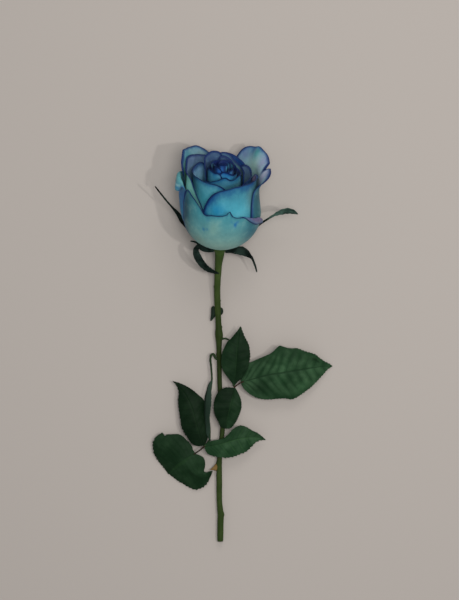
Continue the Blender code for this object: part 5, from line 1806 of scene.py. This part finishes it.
@dataclass
class Calyx:
    """The hip under the petals and its five sepals, of which one has a small lobe of its own.

    The hip's rows are a place along the bloom's axis and a radius.
    """

    hip: Rows = field(default_factory=lambda: [
        (-7.4, 2.9), (-6.4, 3.05), (-5.4, 3.2), (-4, 3.6), (-2.6, 4.3), (-1.5, 4.8), (-0.75, 4.5), (-0.7, 2.2),
        (8, 2.1), (15.2, 1.7),
    ])
    sepals: list[Sepal] = field(default_factory=lambda: [
        Sepal([(-3.6, 1.4, -2.2, 3), (-7, 4, -1.9, 3.6), (-11.5, 7, -0.6, 3.6), (-16.5, 9, 3.4, 3.4),
               (-21.6, 9.4, 8, 3), (-24.6, 9.4, 11.4, 2.8), (-27.7, 9.5, 16.4, 2.2), (-31.4, 9.4, 20.8, 0.95),
               (-35.6, 9, 26, 0.7), (-38.8, 8.6, 30.4, 0.6), (-42.5, 8, 35.6, 0.4)], teeth=0.15),
        Sepal([(-3.6, -1.6, -2.2, 3), (-6.6, -2.8, -1.6, 4), (-10, -3.8, -0.6, 4.2), (-13.2, -4.3, 0.8, 3.2),
               (-15, -5, -0.8, 2.8), (-14.9, -5.4, -3.2, 3.8), (-13.5, -5.8, -6.6, 4.3), (-11.4, -6, -10, 4.1),
               (-8, -6, -13.7, 3.3), (-4, -5.4, -16.3, 2), (0.2, -4.7, -18, 0.4)],
              teeth=0.4),
        Sepal([(-12.2, -4.2, 1.8, 1.6), (-14.2, -4.2, 3, 1.2), (-16.3, -4.1, 3.8, 0.8), (-18.6, -4, 4.1, 0.4)]),
        Sepal([(3.6, -1.8, -2.6, 3), (7, -2.4, -1.9, 3.6), (10.5, -3, -1.5, 4.8), (14.2, -3, -1.9, 5.4),
               (16.6, -3, -3.1, 4.4), (18.8, -3, -4.9, 2.6), (20.7, -3, -6.7, 1.3), (22.1, -3, -9.7, 1),
               (23.4, -3, -13.3, 0.8), (24.3, -3, -16.6, 0.4)]),
        Sepal([(3.8, 1.4, -2.2, 3), (9, 4, -1.6, 2.8), (14.5, 6, 2.6, 2.2), (20.5, 5.5, 9.5, 1.7), (25.4, 4, 14.8, 1),
               (28.8, 3, 18, 0.9), (33, 3, 21.2, 1), (37.2, 3, 23.6, 2.4), (42.2, 3, 25, 3.2), (45.6, 3, 24.4, 2.2),
               (48.4, 3, 23, 0.4)], teeth=0.6, tip_tone=3.6),
        Sepal([(0.4, 3.6, -2.2, 2.8), (0.5, 6, -2.8, 3.6), (0.6, 7.4, -5, 3.6), (0.5, 8, -8.6, 3.2),
               (0.4, 7.6, -12.5, 2.2), (0.2, 6.6, -16, 1.2), (0, 5.4, -19, 0.5)]),
    ])
    finish: GreenFinish = GreenFinish(pigment(9, 18, 15), pigment(38, 54, 48), Grain.FIBROUS, roughness=0.6, shine=0.03)
    hip_finish: GreenFinish = GreenFinish(pigment(54, 76, 34), pigment(66, 88, 44), Grain.FIBROUS, roughness=0.45)

    SIDES = 40
    RINGS = 60
    FLOW_ROUND = 12.0

    def build(self) -> list[bpy.types.Object]:
        """Builds the hip, which is turned about the bloom's axis, and the sepals.

        Returns:
            The two pieces.
        """
        places, radii = np.array(self.hip).T
        at = np.interp(np.linspace(0, 1, self.RINGS), np.linspace(0, 1, len(places)), places)
        radius = np.interp(at, places, radii)[:, None] * np.ones(self.SIDES)
        line = PLACING.in_rose(np.stack([0 * at, 0 * at, at], axis=1))
        around = np.linspace(0, self.FLOW_ROUND, self.SIDES)[None, :] + 0 * radius
        flow = np.stack([around, at[:, None] + 0 * around, 0 * around], axis=-1)
        hip = tube(line, radius, {"flow": flow, "tone": np.ones(radius.shape)})
        sepals = Shell.joined([sepal.shell() for sepal in self.sepals])
        return [
            hip.write("calyx_hip", self.hip_finish.material("hip")),
            sepals.write("calyx_sepals", self.finish.material("sepal")),
        ]


@dataclass
class Stem:
    """The stem, with its nodes and scars, a small bract and one prickle.

    Rows are the distance along the rose, the sideways drift and the width. Bumps are the distance along, the angle
    round the stem in degrees, the height, and the spreads along and round it. The prickle's rows are a share of its
    length and half its height, and the bract's are a place and a width.
    """

    rows: Rows = field(default_factory=lambda: [
        (-5.3, 0.1, 4), (6.5, 0.2, 4.1), (12.6, 0.3, 4.1), (18.8, -0.3, 3.7), (35.2, -0.6, 3.8),
        (50.5, -0.4, 3.4), (64.8, 1.1, 3.1), (70, 1.6, 3.1), (83.3, 0.7, 3.1), (97.6, -0.1, 3.1),
        (118.1, -0.6, 3.2), (126.3, -0.7, 3.6), (130.4, -0.8, 4.4), (133.4, -0.8, 4.9), (137, -0.9, 4.2),
        (152.9, -1.7, 4.1), (161.1, -1.9, 4.1), (173.4, -1.4, 4.4), (180.6, -0.9, 4.9),
    ])
    bumps: Rows = field(default_factory=lambda: [
        (164.6, 172, 0.45, 0.5, 18), (155.2, 8, 0.35, 0.45, 16), (137.8, 8, 0.45, 0.6, 20), (12.8, 5, 0.5, 1.2, 35),
        (131.5, 10, 0.4, 2, 60), (119.5, 175, 0.4, 1.2, 40), (46.5, 178, 0.4, 2, 40),
    ])
    tones: Rows = field(default_factory=lambda: [
        (-5, 0.8), (30, 0.75), (60, 0.72), (90, 0.55), (120, 0.5), (135, 0.6), (160, 0.85), (180, 1), (200, 1.05),
    ])
    start_height: float = 2.02
    slope: float = 0.006
    neck: float = 52.4
    top: float = -6.6
    top_width: float = 6.1
    finish: GreenFinish = GreenFinish(
        pigment(54, 72, 34), pigment(66, 84, 42), Grain.FIBROUS, roughness=0.45, freckles=0.55
    )
    prickle_finish: GreenFinish = GreenFinish(
        pigment(128, 104, 62), pigment(110, 70, 46), Grain.LEATHERY, roughness=0.4
    )
    bract_finish: GreenFinish = GreenFinish(pigment(25, 36, 29), pigment(36, 50, 38), Grain.FIBROUS)
    prickle_root: Vector = (-1.6, 44.5, 2.4)
    prickle_tip: Vector = (-7.0, 42.65, 2.3)
    prickle_rows: Rows = field(default_factory=lambda: [(0, 2.9), (0.15, 2.4), (0.44, 1.4), (0.72, 0.6), (1, 0.05)])
    bract_rows: list[Rows] = field(default_factory=lambda: [
        [(-3.6, 151, 2.4, 2.4), (-3.9, 150.2, 2.4, 3.2), (-3.9, 148.4, 2.4, 3.6), (-4.3, 146.2, 2.5, 3),
         (-5.1, 144.1, 2.5, 1.9), (-6, 142, 2.6, 0.5)],
        [(0.2, 150.2, 2.4, 1.4), (0.5, 149.4, 2.4, 2.2), (0.7, 148.1, 2.4, 2.5), (0.5, 146.8, 2.4, 2.1),
         (0.2, 145.9, 2.4, 0.9)],
    ])

    RINGS = 420
    SIDES = 40
    FLOW_ROUND = 2.2
    RIDGES = 5.0
    RIDGE_HEIGHT = 0.025
    RIDGE_TWIST = 0.05
    WAVER = 0.012
    WAVER_PACE = 0.8
    WAVER_SLANT = 20.0
    CUT_ROUNDING = 0.12
    CUT_RINGS = 1.2
    PRICKLE_RINGS = 40
    PRICKLE_SIDES = 24
    PRICKLE_BREADTH = 0.45
    PRICKLE_FLOW = 8.0
    BRACT_RINGS = 40
    BRACT_COLUMNS = 9
    BRACT_WALL = 0.45
    BRACT_BOW = 0.5
    BRACT_FLOW_ROUND = 4.0
    BRACT_FLOW_STEP = 0.3

    def line(self) -> tuple[Array, Array]:
        """The stem's middle line and its radius: level along the table, then bending up into the bloom's axis.

        The neck is a parabola, whose slope reaches that of the axis where the bloom begins.

        Returns:
            The line's places, and the radius at each.
        """
        crown = PLACING.in_rose(self.top * UPRIGHT)
        rows = [*self.rows, (crown[1], crown[0], self.top_width)]
        along, sideways, width = np.array(rows, float).T
        at = np.linspace(along[0], along[-1], self.RINGS)
        neck = np.maximum(at - (PLACING.base[1] - self.neck), 0)
        rise = (math.tan(PLACING.rise) - self.slope) * neck**2 / (2 * self.neck)
        height = self.start_height + self.slope * at + rise
        return np.stack([smooth(at, along, sideways), at, height], axis=1), smooth(at, along, width) / 2

    def shell(self) -> Shell:
        """The stem as a closed tube: bell-shaped bumps on slow ridges, and a rounded cut end.

        Returns:
            The closed surface.
        """
        line, radius = self.line()
        angle = np.linspace(0, 360, self.SIDES, endpoint=False)[None, :]
        at = line[:, 1][:, None]
        ridges = self.RIDGE_HEIGHT * np.sin(np.radians(angle) * self.RIDGES + at * self.RIDGE_TWIST)
        waver = self.WAVER * np.sin(at * self.WAVER_PACE + angle / self.WAVER_SLANT)
        grid = radius[:, None] * (1 + ridges + waver)
        for along, side, rise, spread, width in self.bumps:
            off = (angle - side + 180) % 360 - 180
            grid = grid + rise * np.exp(-(((at - along) / spread) ** 2) - (off / width) ** 2)
        grid = grid * (1 - self.CUT_ROUNDING * np.exp(-np.arange(self.RINGS) / self.CUT_RINGS))[:, None]
        around = np.radians(angle) * self.FLOW_ROUND + 0 * grid
        flow = np.stack([around, at + 0 * around, 0 * around], axis=-1)
        tone = np.interp(at, *np.array(self.tones).T) + 0 * grid
        return tube(line, grid, {"flow": flow, "tone": tone})

    def prickle(self) -> Shell:
        """The prickle: a tube of ellipses from the stem's side to a sharp tip, tall at its root.

        Returns:
            The closed surface.
        """
        share = np.linspace(0, 1, self.PRICKLE_RINGS)
        root, tip = np.array(self.prickle_root), np.array(self.prickle_tip)
        line = root + (tip - root) * share[:, None]
        angle = np.linspace(0, FULL_TURN, self.PRICKLE_SIDES, endpoint=False)[None, :]
        tall = np.interp(share, *np.array(self.prickle_rows).T)[:, None]
        oval = 1 / np.sqrt((np.cos(angle) / tall) ** 2 + (np.sin(angle) / (tall * self.PRICKLE_BREADTH)) ** 2)
        along = share[:, None] * self.PRICKLE_FLOW + 0 * angle
        flow = np.stack([angle + 0 * along, along, 0 * along], axis=-1)
        return tube(line, oval, {"flow": flow, "tone": np.ones(oval.shape)})

    def bract_half(self, rows: Rows) -> Shell:
        """One side of the bract, a thin closed sheet that is bowed across by a parabola.

        The bract hugs the stem, with a hooked flap on its left and a small one on its right.

        Args:
            rows: its rows.

        Returns:
            The closed surface.
        """
        line = line_through(rows, self.BRACT_RINGS)
        side = unit(np.cross(np.gradient(line[:, :3], axis=0), UPRIGHT))
        across = np.linspace(-0.5, 0.5, self.BRACT_COLUMNS)[None, :, None]
        width = line[:, 3][:, None, None] + 0 * across
        bow = (0.25 - across**2) * width * self.BRACT_BOW
        grid = line[:, None, :3] + side[:, None] * across * width + UPRIGHT * bow
        along = np.arange(self.BRACT_RINGS)[:, None, None] * self.BRACT_FLOW_STEP
        flow = np.concatenate([across * self.BRACT_FLOW_ROUND + 0 * width, along + 0 * width, 0 * width], axis=-1)
        values = {"flow": np.stack([flow, flow]), "tone": np.ones((2, *flow.shape[:2]))}
        return sheet(grid, np.full(flow.shape[:2], self.BRACT_WALL), values)

    def build(self) -> list[bpy.types.Object]:
        """Builds the stem, the prickle and the bract.

        Returns:
            The pieces.
        """
        parts = (
            ("stem_fine", self.shell(), self.finish),
            ("stem_prickle", self.prickle(), self.prickle_finish),
            ("stem_bract", Shell.joined([self.bract_half(rows) for rows in self.bract_rows]), self.bract_finish),
        )
        return [shell.write(name, finish.material(name)) for name, shell, finish in parts]


@dataclass
class Studio:
    """The pale table, the soft lights and the camera above them."""

    table_colour: Colour = pigment(183, 176, 170)
    table_side: float = 12.0
    lens: float = 120.0
    distance: float = 1.3
    tilt: float = math.radians(5.2)
    aim: Vector = (6.2, 156.7, 15.0)
    key_place: Vector = (0.46, 0.06, 0.95)
    key_size: float = 0.035
    key_power: float = 1.8
    front_place: Vector = (0.12, 0.16, 1.25)
    front_size: float = 0.45
    front_power: float = 6.3
    crown_place: Vector = (0.15, 1.0, 0.75)
    crown_size: float = 0.5
    crown_power: float = 2.6
    sky: Colour = (0.84, 0.84, 0.86)
    sky_strength: float = 0.375

    TABLE_LEVEL = -0.0002
    TABLE_ROUGHNESS = 0.85
    TABLE_SHINE = 0.2
    LIGHT_COLOUR = (1.0, 0.98, 0.95)
    SENSOR_WIDTH = 36.0

    def table(self) -> None:
        """The table: one pale square a hair under the rose."""
        half = self.table_side / 2
        mesh = bpy.data.meshes.new("table")
        corners = [(x, y, self.TABLE_LEVEL) for x, y in ((-half, -half), (half, -half), (half, half), (-half, half))]
        mesh.from_pydata(corners, [], [(0, 1, 2, 3)])
        made = bpy.data.objects.new("table", mesh)
        bpy.context.scene.collection.objects.link(made)
        bench = Bench("table")
        bench.feed("Base Color", self.table_colour)
        bench.feed("Roughness", self.TABLE_ROUGHNESS)
        bench.feed("Specular IOR Level", self.TABLE_SHINE)
        mesh.materials.append(bench.material)

    def light(self, name: str, place: Vector, size: float, power: float) -> None:
        """Hangs a square light that faces the middle of the table.

        Args:
            name: the light's name.
            place: where it hangs.
            size: the length of its side.
            power: its power in watts.
        """
        data = bpy.data.lights.new(name, "AREA")
        data.size = size
        data.energy = power
        data.color = self.LIGHT_COLOUR
        made = bpy.data.objects.new(name, data)
        away = unit(np.array(place))
        made.location = place
        made.rotation_euler = (math.acos(away[2]), 0.0, math.atan2(away[0], -away[1]))
        bpy.context.scene.collection.objects.link(made)

    def lights(self) -> None:
        """A small light from the right, broad soft ones above the rose and beyond its bloom, and an even sky."""
        self.light("key", self.key_place, self.key_size, self.key_power)
        self.light("front", self.front_place, self.front_size, self.front_power)
        self.light("crown", self.crown_place, self.crown_size, self.crown_power)
        world = bpy.data.worlds.new("sky")
        world.use_nodes = True
        background = world.node_tree.nodes["Background"]
        background.inputs[0].default_value = (*self.sky, 1.0)
        background.inputs[1].default_value = self.sky_strength
        bpy.context.scene.world = world

    def camera(self) -> None:
        """A long lens above the rose, tipped a little towards the bloom's end."""
        data = bpy.data.cameras.new("camera")
        data.lens = self.lens
        data.sensor_width = self.SENSOR_WIDTH
        made = bpy.data.objects.new("camera", data)
        aim = PLACING.in_metres(np.array(self.aim))
        back = np.array([0.0, math.sin(self.tilt), math.cos(self.tilt)])
        made.location = (aim + back * self.distance).tolist()
        made.rotation_euler = (-self.tilt, 0.0, 0.0)
        bpy.context.scene.collection.objects.link(made)
        bpy.context.scene.camera = made

    def set_up(self) -> None:
        """Makes the table, the lights and the camera, and shows colours as they are."""
        self.table()
        self.lights()
        self.camera()
        bpy.context.scene.view_settings.view_transform = "Standard"
        bpy.context.scene.view_settings.look = "None"


def settle(piece: bpy.types.Object, node: str, slot: str) -> None:
    """Lets a piece ride on the rose in place of its node, and reports it.

    Args:
        piece: the finished piece.
        node: the node that it stands for.
        slot: the name of a material slot; not used.
    """
    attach(piece, "root")
    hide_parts(node)
    LOG.info("%s stands for %s: %d faces", piece.name, node, len(piece.data.polygons))


def main() -> None:
    """Builds the rose piece by piece, and the studio round it."""
    logging.basicConfig(level=logging.INFO, format="%(message)s")
    Studio().set_up()
    for node, piece in Bloom(PETALS).build().items():
        settle(piece, node, "outer_petal" if "guard" in node else "inner_petal")
    for piece in Heart().build():
        settle(piece, "heart", "heart_petal")
    for piece in Calyx().build():
        settle(piece, "calyx", "sepal")
    for piece in Stem().build():
        settle(piece, "stem", "stem")
    for leaf in (RIGHT_LEAF, LEFT_LEAF):
        for piece in leaf.build():
            settle(piece, leaf.name, "leaf")


if __name__ == "__main__":
    main()
